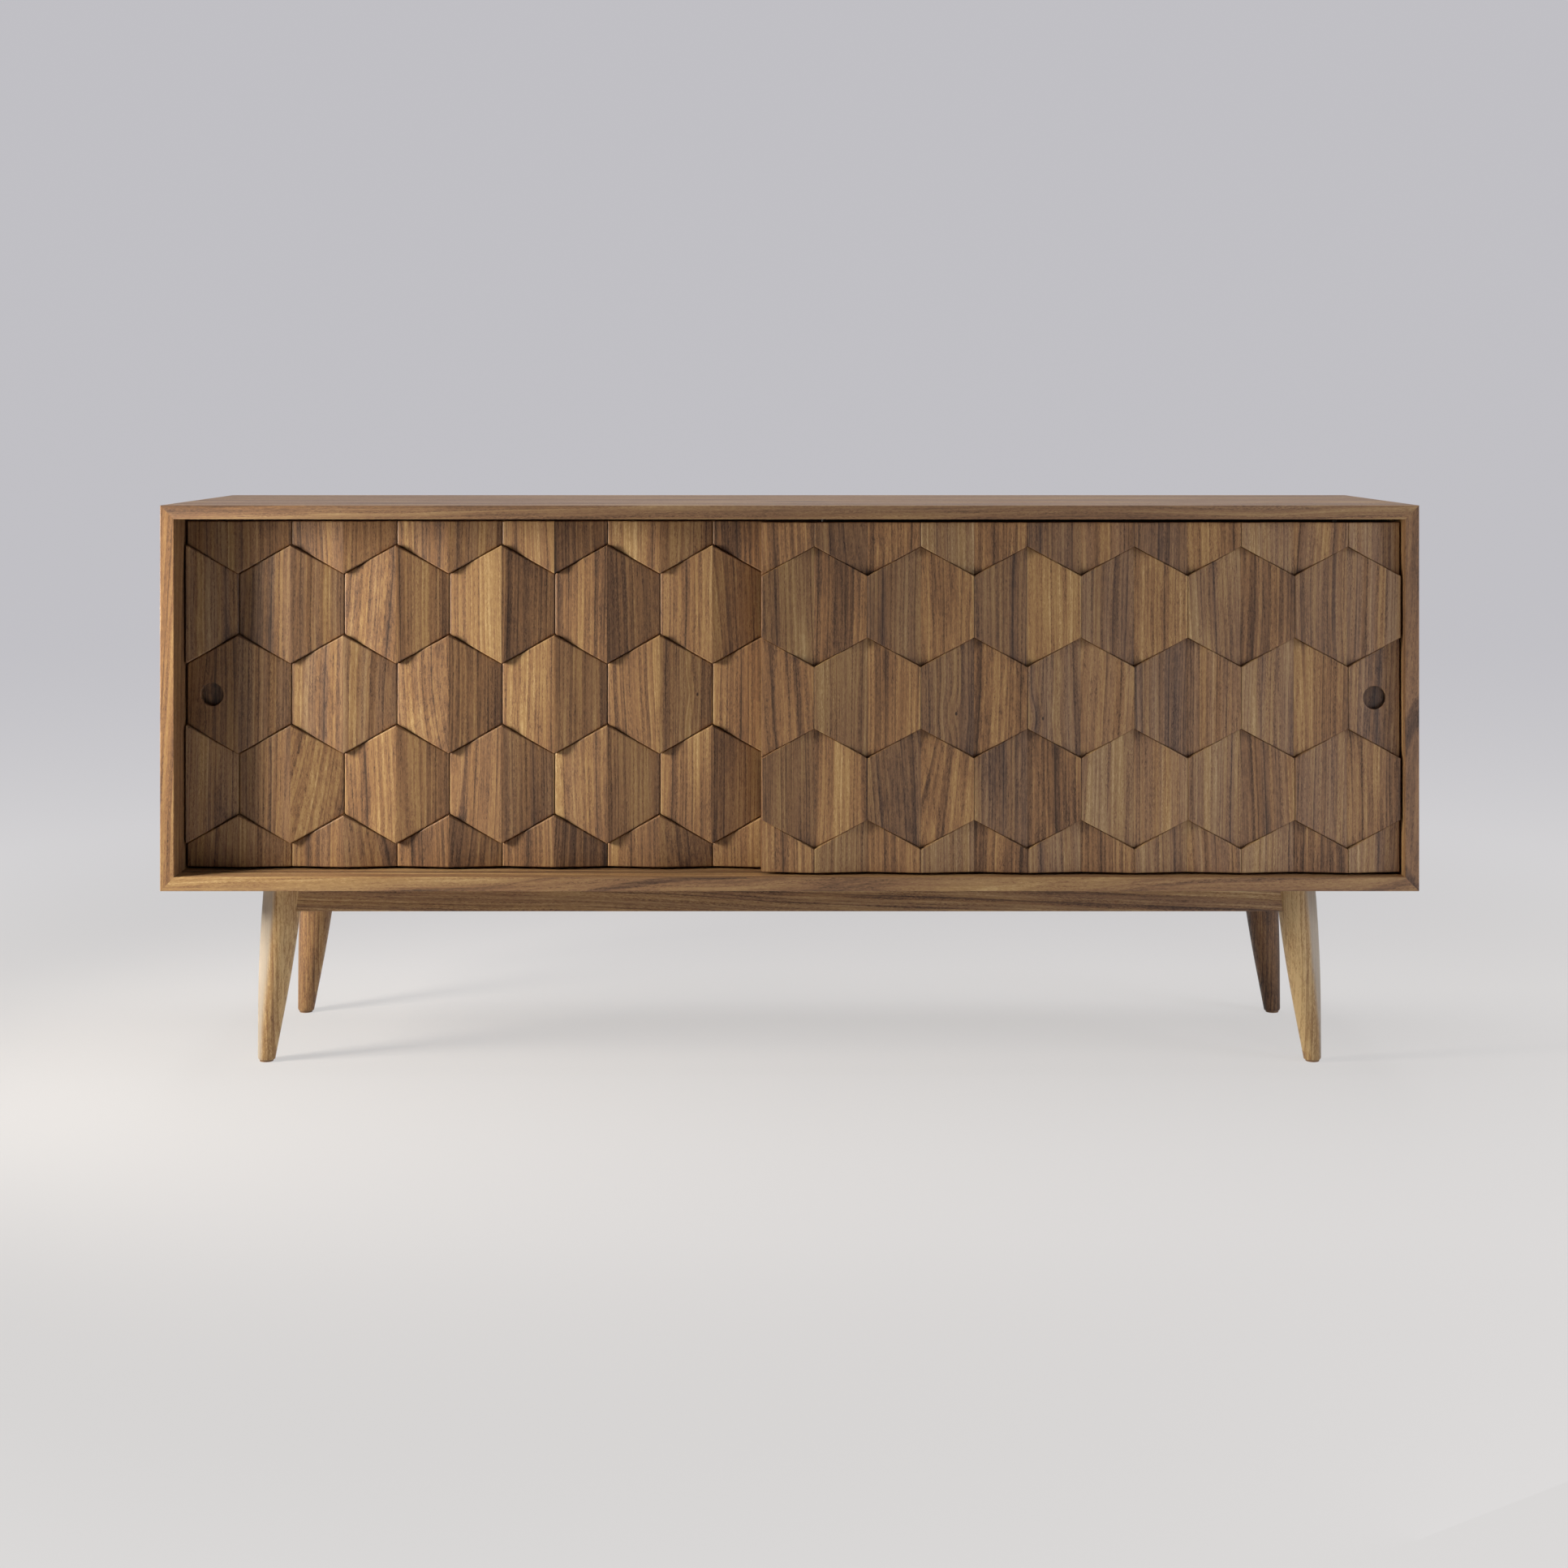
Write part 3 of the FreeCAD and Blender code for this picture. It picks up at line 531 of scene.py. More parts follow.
    def build(self) -> bpy.types.Material:
        """Make the material.

        Returns:
            The material, ready for a slot.
        """
        graph = Graph(self.name)
        place, tone, knot = self.places(graph)
        shade, ashen, sap = graph.split(tone)
        beside, above, strength = graph.split(knot)
        gap = graph.vector("LENGTH", graph.joined(beside, graph.math("MULTIPLY", above, 0.6), 0.0))
        bent = self.bend(graph, place, self.sway, across=6.0, along=2.2)
        bent = self.bend(graph, bent, self.fine_sway, across=50.0, along=8.0)
        figure = self.figure(graph, bent, self.radius(graph, bent, beside, gap, strength))
        core = graph.math("MULTIPLY", strength, graph.spread(gap, 0.0022, 0.0005))
        heart = self.heartwood(graph, figure, shade, ashen, core)
        rim = graph.swing(figure.clouds, 0.02, sap)
        colour = graph.mix(graph.spread(rim, -0.002, 0.007), heart,
                           graph.mix(0.2, self.sapwood, heart))
        gloss = graph.math("MULTIPLY_ADD", graph.math("SUBTRACT", 0.5, figure.flecks), 0.25,
                           self.roughness)
        graph.dress(colour, graph.math("MULTIPLY_ADD", figure.pores, 0.15, gloss, clamp=True),
                    Specular_IOR_Level=0.4)
        graph.relief(graph.math("SUBTRACT", graph.math("MULTIPLY", figure.flecks, 0.5),
                                figure.pores), self.pore_depth)
        return graph.material


@dataclass(frozen=True)
class Metal:
    """A drawn or rolled metal with fine lines along X.

    Attributes:
        name: The material's name.
        colour: Colour of the metal.
        roughness: Middle roughness.
        lines: Lines for each metre across the drawing.
        dulled: Share of the colour that stays where the metal is dull.
    """

    name: str
    colour: Colour
    roughness: float = 0.36
    lines: float = 2600.0
    dulled: float = 0.72

    def build(self) -> bpy.types.Material:
        """Make the material.

        Returns:
            The material, ready for a slot.
        """
        graph = Graph(self.name)
        where = graph.add("ShaderNodeTexCoord").outputs["Object"]
        drawn = graph.noise(graph.vector("MULTIPLY", where, (14.0, self.lines, self.lines)),
                            detail=2.0).outputs[0]
        marks = graph.noise(where, scale=90.0, detail=3.0).outputs[0]
        dull = tuple(self.dulled * share for share in self.colour)
        graph.dress(graph.mix(graph.spread(marks, 0.35, 0.7), self.colour, dull),
                    graph.swing(drawn, 0.3, self.roughness), Metallic=1.0)
        graph.relief(drawn, 0.00002)
        return graph.material


@dataclass(frozen=True)
class Moulding:
    """A moulded plastic or a powder coat, with a fine spark texture.

    Attributes:
        name: The material's name.
        colour: Its colour.
        roughness: Middle roughness.
        lighter: How much lighter its light patches are, as a factor.
    """

    name: str
    colour: Colour
    roughness: float = 0.48
    lighter: float = 1.18

    def build(self) -> bpy.types.Material:
        """Make the material.

        Returns:
            The material, ready for a slot.
        """
        graph = Graph(self.name)
        where = graph.add("ShaderNodeTexCoord").outputs["Object"]
        spark = graph.noise(where, scale=2400.0, detail=2.0).outputs[0]
        flow = graph.noise(where, scale=60.0, detail=2.0).outputs[0]
        light = tuple(min(1.0, self.lighter * share) for share in self.colour)
        graph.dress(graph.mix(flow, self.colour, light),
                    graph.math("MULTIPLY_ADD", spark, 0.2, self.roughness - 0.1))
        graph.relief(spark, 0.00003)
        return graph.material


# --- Sawn wood -------------------------------------------------------------------------


@dataclass(frozen=True)
class Cut:
    """How one piece was sawn from its log.

    Attributes:
        along: Direction of the grain.
        across: Direction across the face.
        pith: Place of the piece's own origin, from the pith.
        turn: Turn of the rings about the grain, in radians.
        lean: Lean of the log's axis across the face and into it, as slopes.
        shade: From -1 for a dark piece to 1 for a light one.
        ash: From 0 for a warm piece to 1 for an ashen one.
        fade: Change of shade for each metre along the grain.
        arch: Change of shade for each square metre away from the middle along the grain.
        sap: How far the heartwood reaches along sap_side, in metres.
        sap_side: Direction towards the bark, if the piece has sapwood.
        knot: Place of a knot across and along the face, and its strength.
        recess: Radius of a recess round the origin, whose floor gets painted shade.
        recess_painted_shade: How much painted shade darkens that floor, for the shade in the
            hollow.
    """

    along: Point
    across: Point
    pith: Point
    turn: float = 0.0
    lean: tuple[float, float] = (0.0, 0.0)
    shade: float = 0.0
    ash: float = 0.2
    fade: float = 0.0
    arch: float = 0.0
    sap: float = 0.0
    sap_side: Point | None = None
    knot: Point = (1.0, 1.0, 0.0)
    recess: float = 0.0
    recess_painted_shade: float = 1.3

    def own(self, places: np.ndarray, origin: np.ndarray) -> np.ndarray:
        """Turn places into the piece's own directions.

        Args:
            places: Corners of the piece, one row each.
            origin: The piece's own origin.

        Returns:
            The same corners, across the piece, into it and along its grain.
        """
        along = np.array(self.along, float)
        across = np.array(self.across, float)
        return (places - origin) @ np.array([across, np.cross(along, across), along]).T

    def grain(self, places: np.ndarray, origin: np.ndarray) -> np.ndarray:
        """Turn places into places in the log.

        Args:
            places: Corners of the piece, one row each.
            origin: The piece's own origin.

        Returns:
            The same corners, with the pith at zero and Z along the grain.
        """
        own = self.own(places, origin)
        own[:, :2] += own[:, 2:] * np.array(self.lean)
        cosine, sine = math.cos(self.turn), math.sin(self.turn)
        turned = own @ np.array([[cosine, sine, 0.0], [-sine, cosine, 0.0], [0.0, 0.0, 1.0]])
        return turned + np.array(self.pith)

    def tone(self, places: np.ndarray, origin: np.ndarray) -> np.ndarray:
        """Work out the tone of the wood.

        Args:
            places: Corners of the piece, one row each.
            origin: The piece's own origin.

        Returns:
            Shade, ash and sapwood depth at each corner.
        """
        own = places - origin
        reach = own @ np.array(self.along, float)
        shade = self.shade + self.fade * reach + self.arch * reach * reach
        # Painted shade: the floor of a recess is drawn darker, for the shade that falls in the
        # hollow.
        if self.recess:
            slack = 0.0001
            reach = np.hypot(reach, own @ np.array(self.across, float))
            on_floor = reach < self.recess + slack
            shade = np.where(on_floor, shade - self.recess_painted_shade, shade)
        if self.sap_side is None:
            sap = np.full(len(own), -1.0)
        else:
            sap = own @ np.array(self.sap_side, float) - self.sap
        return np.stack([shade, np.full(len(own), self.ash), sap], axis=1)

    def knots(self, places: np.ndarray, origin: np.ndarray) -> np.ndarray:
        """Work out where the knot lies.

        Args:
            places: Corners of the piece, one row each.
            origin: The piece's own origin.

        Returns:
            Place from the knot across and along the face, and its strength, at each corner.
        """
        own = self.own(places, origin)
        beside, above, strength = self.knot
        return np.stack([own[:, 0] - beside, own[:, 2] - above, np.full(len(own), strength)],
                        axis=1)


@dataclass
class Sawyer:
    """Chooses how pieces are sawn, the same way each time.

    Attributes:
        seed: Start of the choices.
        knotty: Share of the pieces that have a knot.
        slanting: Share of the pieces whose rings run well aslant, so they show arches.
        draw: Where the choices come from.
    """

    seed: int
    knotty: float = 0.0
    slanting: float = 0.22
    draw: random.Random = field(init=False)

    def __post_init__(self) -> None:
        """Start the choices."""
        self.draw = random.Random(self.seed)

    def cut(self, along: Point, across: Point, **known: object) -> Cut:
        """Choose a piece's place in its log.

        Args:
            along: Direction of the grain.
            across: Direction across the face.
            **known: Anything about the cut that isn't left to chance.

        Returns:
            The cut.
        """
        pith = (self.draw.uniform(-0.02, 0.02), self.draw.uniform(0.06, 0.18),
                self.draw.uniform(-9.0, 9.0))
        deep_lean = 0.13 if self.draw.random() < self.slanting else 0.025
        choices = {"pith": pith, "turn": self.draw.choice((-1, 1)) * self.draw.uniform(0.7, 1.5),
                   "lean": (self.draw.gauss(0.0, 0.012), self.draw.gauss(0.0, deep_lean)),
                   "shade": self.draw.gauss(0.0, 0.5), "ash": self.draw.uniform(0.0, 0.9)}
        if self.draw.random() < self.knotty:
            choices["knot"] = (self.draw.uniform(-0.02, 0.02), self.draw.uniform(-0.03, 0.03),
                               self.draw.uniform(0.5, 1.0))
        choices.update(known)
        return Cut(along=along, across=across, **choices)


def write_grain(mesh: bpy.types.Mesh, origin: Point, cut: Cut) -> None:
    """Write where a piece's wood lay in its log onto its corners.

    Args:
        mesh: The piece's mesh.
        origin: The piece's own origin.
        cut: How it was sawn.
    """
    places = np.empty(len(mesh.vertices) * 3)
    mesh.vertices.foreach_get("co", places)
    places = places.reshape(-1, 3)
    start = np.array(origin, float)
    for name, values in (("grain", cut.grain(places, start)), ("tone", cut.tone(places, start)),
                         ("knot", cut.knots(places, start))):
        layer = mesh.attributes.new(name, "FLOAT_VECTOR", "POINT")
        layer.data.foreach_set("vector", values.astype(np.float32).ravel())


# --- Mesh tools ------------------------------------------------------------------------


def new_piece(name: str, mesh: bmesh.types.BMesh,
              material: bpy.types.Material) -> bpy.types.Object:
    """Turn a finished mesh into a piece.

    Args:
        name: The piece's name.
        mesh: Its mesh, which is used up.
        material: Its finish.

    Returns:
        The piece, in the scene.
    """
    bmesh.ops.recalc_face_normals(mesh, faces=mesh.faces)
    data = bpy.data.meshes.new(name)
    mesh.to_mesh(data)
    mesh.free()
    data.materials.append(material)
    piece = bpy.data.objects.new(name, data)
    bpy.context.scene.collection.objects.link(piece)
    return piece


def settle_normals(piece: bpy.types.Object, sharp: float = 50.0) -> None:
    """Shade a piece smoothly, with its large faces flat.

    Args:
        piece: The piece.
        sharp: Least angle of an edge that stays sharp, in degrees.
    """
    piece.data.polygons.foreach_set("use_smooth", [True] * len(piece.data.polygons))
    piece.data.set_sharp_from_angle(angle=math.radians(sharp))
    modifier = piece.modifiers.new("flat faces", "WEIGHTED_NORMAL")
    modifier.keep_sharp = True


def add_box(mesh: bmesh.types.BMesh, low: Sequence[float], high: Sequence[float]) -> None:
    """Add a box to a mesh.

    Args:
        mesh: The mesh.
        low: The box's lowest corner.
        high: The box's highest corner.
    """
    size = [b - a for a, b in zip(low, high)]
    middle = [(a + b) / 2 for a, b in zip(low, high)]
    matrix = Matrix.Translation(middle) @ Matrix.Diagonal((*size, 1.0))
    bmesh.ops.create_cube(mesh, size=1.0, matrix=matrix)


def add_lathe(mesh: bmesh.types.BMesh, profile: Sequence[tuple[float, float]], matrix: Matrix,
              steps: int) -> None:
    """Add a turned solid to a mesh.

    Args:
        mesh: The mesh.
        profile: Radius and height of each ring, from one end to the other.
        matrix: Where the turned shape's own Z axis goes.
        steps: Corners of each ring.
    """
    rings = []
    for radius, height in profile:
        ring = []
        for step in range(steps):
            angle = 2 * math.pi * step / steps
            spot = Vector((radius * math.cos(angle), radius * math.sin(angle), height))
            ring.append(mesh.verts.new(matrix @ spot))
        rings.append(ring)
    for lower, upper in zip(rings, rings[1:]):
        for step in range(steps):
            after = (step + 1) % steps
            mesh.faces.new((lower[step], lower[after], upper[after], upper[step]))
    mesh.faces.new(rings[0][::-1])
    mesh.faces.new(rings[-1])


def carve(piece: bpy.types.Object, cutters: bmesh.types.BMesh) -> None:
    """Cut shapes out of a piece.

    Args:
        piece: The piece.
        cutters: The shapes, which are used up.
    """
    bmesh.ops.recalc_face_normals(cutters, faces=cutters.faces)
    data = bpy.data.meshes.new("cutter")
    cutters.to_mesh(data)
    cutters.free()
    tool = bpy.data.objects.new("cutter", data)
    bpy.context.scene.collection.objects.link(tool)
    modifier = piece.modifiers.new("cut", "BOOLEAN")
    modifier.operation = "DIFFERENCE"
    modifier.solver = "EXACT"
    modifier.object = tool
    bpy.context.view_layer.update()
    shaped = piece.evaluated_get(bpy.context.evaluated_depsgraph_get())
    result = bpy.data.meshes.new_from_object(shaped)
    piece.modifiers.remove(modifier)
    piece.data = result
    bpy.data.objects.remove(tool)


def soften(piece: bpy.types.Object, size: float, chosen: Callable[[bmesh.types.BMEdge], bool],
           segments: int = 2) -> None:
    """Round the outward edges of a piece.

    Args:
        piece: The piece.
        size: Width of the rounding, in metres.
        chosen: Says whether an outward edge is rounded.
        segments: Steps of the rounding.
    """
    mesh = bmesh.new()
    mesh.from_mesh(piece.data)
    bmesh.ops.remove_doubles(mesh, verts=mesh.verts, dist=SAME_SPOT)
    least_angle = math.radians(25.0)
    edges = [edge for edge in mesh.edges
             if edge.is_manifold and edge.calc_face_angle_signed() > least_angle
             and chosen(edge)]
    bmesh.ops.bevel(mesh, geom=edges, offset=size, offset_type="OFFSET", segments=segments,
                    profile=0.5, affect="EDGES", clamp_overlap=True)
    mesh.to_mesh(piece.data)
    mesh.free()


def hand_over(piece: bpy.types.Object, body: str, slot: str, *nodes: str) -> None:
    """Make a piece ride on its body, in place of its nodes, and report it.

    Args:
        piece: The finished piece.
        body: The body that it moves with.
        slot: The material slot of the record; not used.
        *nodes: The nodes that it stands for.
    """
    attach(piece, body)
    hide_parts(*nodes)
    LOG.info("%s rides on %s for %s", piece.name, body, ", ".join(nodes))


def dress_nodes(material: bpy.types.Material, nodes: Iterable[str]) -> None:
    """Give nodes that keep their own shape a finish.

    Args:
        material: The finish.
        nodes: The nodes.
    """
    for name in nodes:
        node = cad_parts[name]
        if not node.material_slots:
            node.data.materials.append(material)
        for place in node.material_slots:
            place.link = "OBJECT"
            place.material = material
        LOG.info("%s keeps its shape and gets %s", name, material.name)


@dataclass
class Span:
    """The box of a node at rest.

    Attributes:
        low: Its lowest corner.
        high: Its highest corner.
    """

    low: Vector
    high: Vector

    @classmethod
    def of(cls, *nodes: str) -> "Span":
        """Find the box round some nodes.

        Args:
            *nodes: The nodes.

        Returns:
            The box.
        """
        corners = [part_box(node) for node in nodes]
        return cls(Vector(min(low[axis] for low, _ in corners) for axis in range(3)),
                   Vector(max(high[axis] for _, high in corners) for axis in range(3)))

    @property
    def middle(self) -> Vector:
        """The middle of the box."""
        return (self.low + self.high) / 2

    @property
    def size(self) -> Vector:
        """The lengths of the box."""
        return self.high - self.low


# --- The case --------------------------------------------------------------------------

RIGHT: Point = (1.0, 0.0, 0.0)
BACK: Point = (0.0, 1.0, 0.0)
UP: Point = (0.0, 0.0, 1.0)


def bounds_mitre(edge: bmesh.types.BMEdge) -> bool:
    """Tell whether an edge bounds one of the case's mitres.

    Args:
        edge: The edge.

    Returns:
        Whether a face beside it slopes as a mitre does.
    """
    slack = 0.1
    return any(abs(abs(face.normal.x) - abs(face.normal.z)) < slack
               and abs(face.normal.y) < slack for face in edge.link_faces)


@dataclass
class Case:
    """The four mitred boards, the divider and the shelves.

    Attributes:
        wood: Finish of the boards.
        inside: Finish of the divider and the shelves.
        arris: Rounding of the outer edges.
        back_play: Gap between the back and its rebate.
        back_overcut: How far the rebate's cutter stands out behind the case.
        track_play: How far a track's end goes into the wood at the end of its groove.
        track_overcut: How far a groove's cutter stands out of its board.
    """

    wood: bpy.types.Material
    inside: bpy.types.Material
    arris: float = 0.0009
    back_play: float = 0.0003
    back_overcut: float = 0.01
    track_play: float = 0.0005
    track_overcut: float = 0.005

    def board(self, node: str, outer: str) -> bpy.types.Object:
        """Build one mitred board.

        Args:
            node: The board's node.
            outer: The side that its outer face looks to: top, bottom, left or right.

        Returns:
            The board, without its rounding.
        """
        span = Span.of(node)
        level = outer in ("top", "bottom")
        thickness = span.size.z if level else span.size.x
        outward = 1 if outer in ("top", "right") else -1
        far = (span.high if outward > 0 else span.low)[2 if level else 0]
        near = far - outward * thickness
        ends = (span.low.x, span.high.x) if level else (span.low.z, span.high.z)
        mesh = bmesh.new()
        corners = []
        for y in (span.low.y, span.high.y):
            for depth, inset in ((far, 0.0), (near, thickness)):
                for end, side in zip(ends, (1, -1)):
                    reach = end + side * inset
                    corners.append(mesh.verts.new(
                        (reach, y, depth) if level else (depth, y, reach)))
        for face in ((0, 1, 3, 2), (4, 5, 7, 6), (0, 1, 5, 4), (2, 3, 7, 6), (0, 2, 6, 4),
                     (1, 3, 7, 5)):
            mesh.faces.new([corners[place] for place in face])
        return new_piece(f"{outer}_board", mesh, self.wood)

    def cutters(self) -> bmesh.types.BMesh:
        """Make the rebate for the back and the grooves for the tracks, as solids.

        Returns:
            The mesh of the solids.
        """
        mesh = bmesh.new()
        back = Span.of("back_panel")
        play = self.back_play
        add_box(mesh, (back.low.x - play, back.low.y, back.low.z - play),
                (back.high.x + play, back.high.y + self.back_overcut, back.high.z + play))
        for track in ("front_bottom_track", "rear_bottom_track", "front_top_track",
                      "rear_top_track"):
            span = Span.of(track)
            end_play = Vector((self.track_play, 0.0, 0.0))
            low, high = span.low + end_play, span.high - end_play
            if "bottom" in track:
                high.z += self.track_overcut
            else:
                low.z -= self.track_overcut
            add_box(mesh, low, high)
        return mesh

    def build_boards(self) -> None:
        """Build the four boards and put them in place."""
        sawyer = Sawyer(20)
        cuts = {
            "top": sawyer.cut(RIGHT, BACK, shade=1.2, fade=0.1, arch=-1.6, ash=0.35, turn=0.5),
            "bottom": sawyer.cut(RIGHT, BACK, shade=0.5, fade=-0.6, ash=0.15, turn=-0.4),
            "left": sawyer.cut(UP, BACK, shade=-0.2, ash=0.0, turn=0.9),
            "right": sawyer.cut(UP, BACK, shade=0.0, ash=0.1, turn=-0.9),
        }
        nodes = {"top": "top_panel", "bottom": "bottom_panel", "left": "left_side_panel",
                 "right": "right_side_panel"}
        for outer, node in nodes.items():
            span = Span.of(node)
            board = self.board(node, outer)
            carve(board, self.cutters())
            thickness = min(span.size)
            soften(board, self.arris,
                   lambda edge: not bounds_mitre(edge) and edge.calc_length() > thickness)
            settle_normals(board)
            write_grain(board.data, span.middle, cuts[outer])
            hand_over(board, "root", "case_walnut", node)

    def build_inside(self) -> None:
        """Build the divider and the two shelves."""
        sawyer = Sawyer(23)
        for node, along, across in (("centre_divider", UP, BACK), ("left_shelf", RIGHT, BACK),
                                    ("right_shelf", RIGHT, BACK)):
            span = Span.of(node)
            mesh = bmesh.new()
            add_box(mesh, span.low, span.high)
            plank = new_piece(f"{node}_board", mesh, self.inside)
            soften(plank, self.arris, lambda edge: True)
            settle_normals(plank)
            write_grain(plank.data, span.middle, sawyer.cut(along, across, ash=0.2, turn=0.4))
            hand_over(plank, "root", "inside_walnut", node)


# --- The leg frame ---------------------------------------------------------------------


@dataclass
class LegFrame:
    """Four turned legs and the rails between them.

    Attributes:
        wood: Finish of the frame.
        splay: Outward lean of the legs, in radians.
        foot: Radius of a leg at the floor glide.
        shin: Height and radius where a leg starts to swell.
        calf: Height and radius on the swelling part.
        top: Radius of a leg at the case.
        ease: Easing of a leg's edge at the floor glide.
        sides: Corners of each ring of a leg.
        rings: Rings of a leg between its ends.
        arris: Rounding of the rails' edges.
        pocket_radius: Radius of the pockets that the rails' screws sit in.
        pocket_depth: Depth of the pockets.
        pocket_overcut: How far a pocket's cutter stands out below the rail.
        pocket_sides: Corners of a pocket's ring.
        long_spacing: From a long rail's middle to its outer pockets.
        short_spacing: From a short rail's middle to its pockets.
    """

    wood: bpy.types.Material
    splay: float = math.radians(5.7)
    foot: float = 0.0125
    shin: tuple[float, float] = (0.075, 0.0194)
    calf: tuple[float, float] = (0.160, 0.0254)
    top: float = 0.0287
    ease: float = 0.0012
    sides: int = 64
    rings: int = 40
    arris: float = 0.0012
    pocket_radius: float = 0.006
    pocket_depth: float = 0.024
    pocket_overcut: float = 0.002
    pocket_sides: int = 24
    long_spacing: float = 0.5911
    short_spacing: float = 0.055

    def radius(self, height: float, length: float) -> float:
        """Radius of a leg at a height along its axis.

        Args:
            height: Distance from the foot.
            length: Length of the leg.

        Returns:
            The radius there: straight to the shin, then a swelling curve.
        """
        shin_height, shin = self.shin
        if height <= shin_height:
            return self.foot + (shin - self.foot) * height / shin_height
        calf_height, calf = self.calf
        share = (height - shin_height) / (length - shin_height)
        calf_share = (calf_height - shin_height) / (length - shin_height)
        straight = shin + (self.top - shin) * calf_share
        bulge = (calf - straight) / (calf_share * (1 - calf_share))
        return shin + (self.top - shin) * share + bulge * share * (1 - share)

    def build_leg(self, node: str, cut: Cut) -> None:
        """Build one turned leg.

        Args:
            node: The leg's node.
            cut: How its wood was sawn.
        """
        span = Span.of(node)
        side = -1 if span.middle.x < 0 else 1
        lean = Vector((-side * math.sin(self.splay), 0.0, math.cos(self.splay)))
        outer = span.low.x if side < 0 else span.high.x
        foot = Vector((outer - side * self.foot / math.cos(self.splay), span.middle.y, span.low.z))
        length = span.size.z / lean.z
        turn = Matrix.Rotation(-side * self.splay, 3, "Y")
        mesh = bmesh.new()
        loops = []
        for ring in range(-1, self.rings + 1):
            height = self.ease if ring == 0 else max(ring, 0) / self.rings * length
            radius = self.radius(height, length) - (self.ease if ring == -1 else 0.0)
            loop = []
            for step in range(self.sides):
                angle = 2 * math.pi * step / self.sides
                rim = turn @ Vector((radius * math.cos(angle), radius * math.sin(angle), 0.0))
                spot = foot + lean * height + rim
                if ring in (-1, self.rings):
                    level = span.low.z if ring == -1 else span.high.z
                    spot += lean * ((level - spot.z) / lean.z)
                loop.append(mesh.verts.new(spot))
            loops.append(loop)
        for lower, upper in zip(loops, loops[1:]):
            for step in range(self.sides):
                after = (step + 1) % self.sides
                mesh.faces.new((lower[step], lower[after], upper[after], upper[step]))
        mesh.faces.new(loops[0])
        mesh.faces.new(loops[-1])
        leg = new_piece(f"{node}_turned", mesh, self.wood)
        settle_normals(leg)
        write_grain(leg.data, foot, cut)
        hand_over(leg, "root", "frame_walnut", node)

    def build(self) -> None:
        """Build the legs and the rails."""
        sawyer = Sawyer(37)
        # Shade of each leg, and how far from its axis the sapwood starts.
        legs = {"front_left_leg": (2.1, 0.004), "front_right_leg": (2.6, 0.007),
                "rear_left_leg": (0.9, 0.2), "rear_right_leg": (-2.0, 0.2)}
        for node, (shade, heartwood) in legs.items():
            side = -1 if "left" in node else 1
            along = (-side * math.sin(self.splay), 0.0, math.cos(self.splay))
            cut = sawyer.cut(along, RIGHT, pith=(0.0, 0.07, sawyer.draw.uniform(-5, 5)),
                             turn=1.4 * side, lean=(0.0, 0.0),
                             shade=shade, ash=0.1, sap=heartwood,
                             sap_side=(side * math.cos(self.splay), 0.0, math.sin(self.splay)))
            self.build_leg(node, cut)
        for node in ("front_rail", "rear_rail", "left_rail", "right_rail"):
            self.build_rail(node, sawyer)

    def build_rail(self, node: str, sawyer: Sawyer) -> None:
        """Build one rail, with its screw pockets.

        Args:
            node: The rail's node.
            sawyer: Chooses how its wood is sawn.
        """
        span = Span.of(node)
        lengthwise = span.size.x > span.size.y
        mesh = bmesh.new()
        add_box(mesh, span.low, span.high)
        rail = new_piece(f"{node}_board", mesh, self.wood)
        soften(rail, self.arris, lambda edge: True)
        radius, depth, below = self.pocket_radius, self.pocket_depth, self.pocket_overcut
        profile = [(-below, 0.0), (-below, radius), (depth, radius), (depth, 0.0)]
        reach = self.long_spacing if lengthwise else self.short_spacing
        cutters = bmesh.new()
        for place in (-reach, 0.0, reach) if lengthwise else (-reach, reach):
            spot = span.middle + Vector((place, 0.0, 0.0) if lengthwise else (0.0, place, 0.0))
            spot.z = span.low.z
            add_lathe(cutters, profile, Matrix.Translation(spot), self.pocket_sides)
        carve(rail, cutters)
        settle_normals(rail)
        along, across = (RIGHT, BACK) if lengthwise else (BACK, RIGHT)
        write_grain(rail.data, span.middle,
                    sawyer.cut(along, across, shade=0.9, fade=-0.45, arch=-0.2, ash=0.2, turn=0.3))
        hand_over(rail, "root", "frame_walnut", node)


# --- The doors -------------------------------------------------------------------------


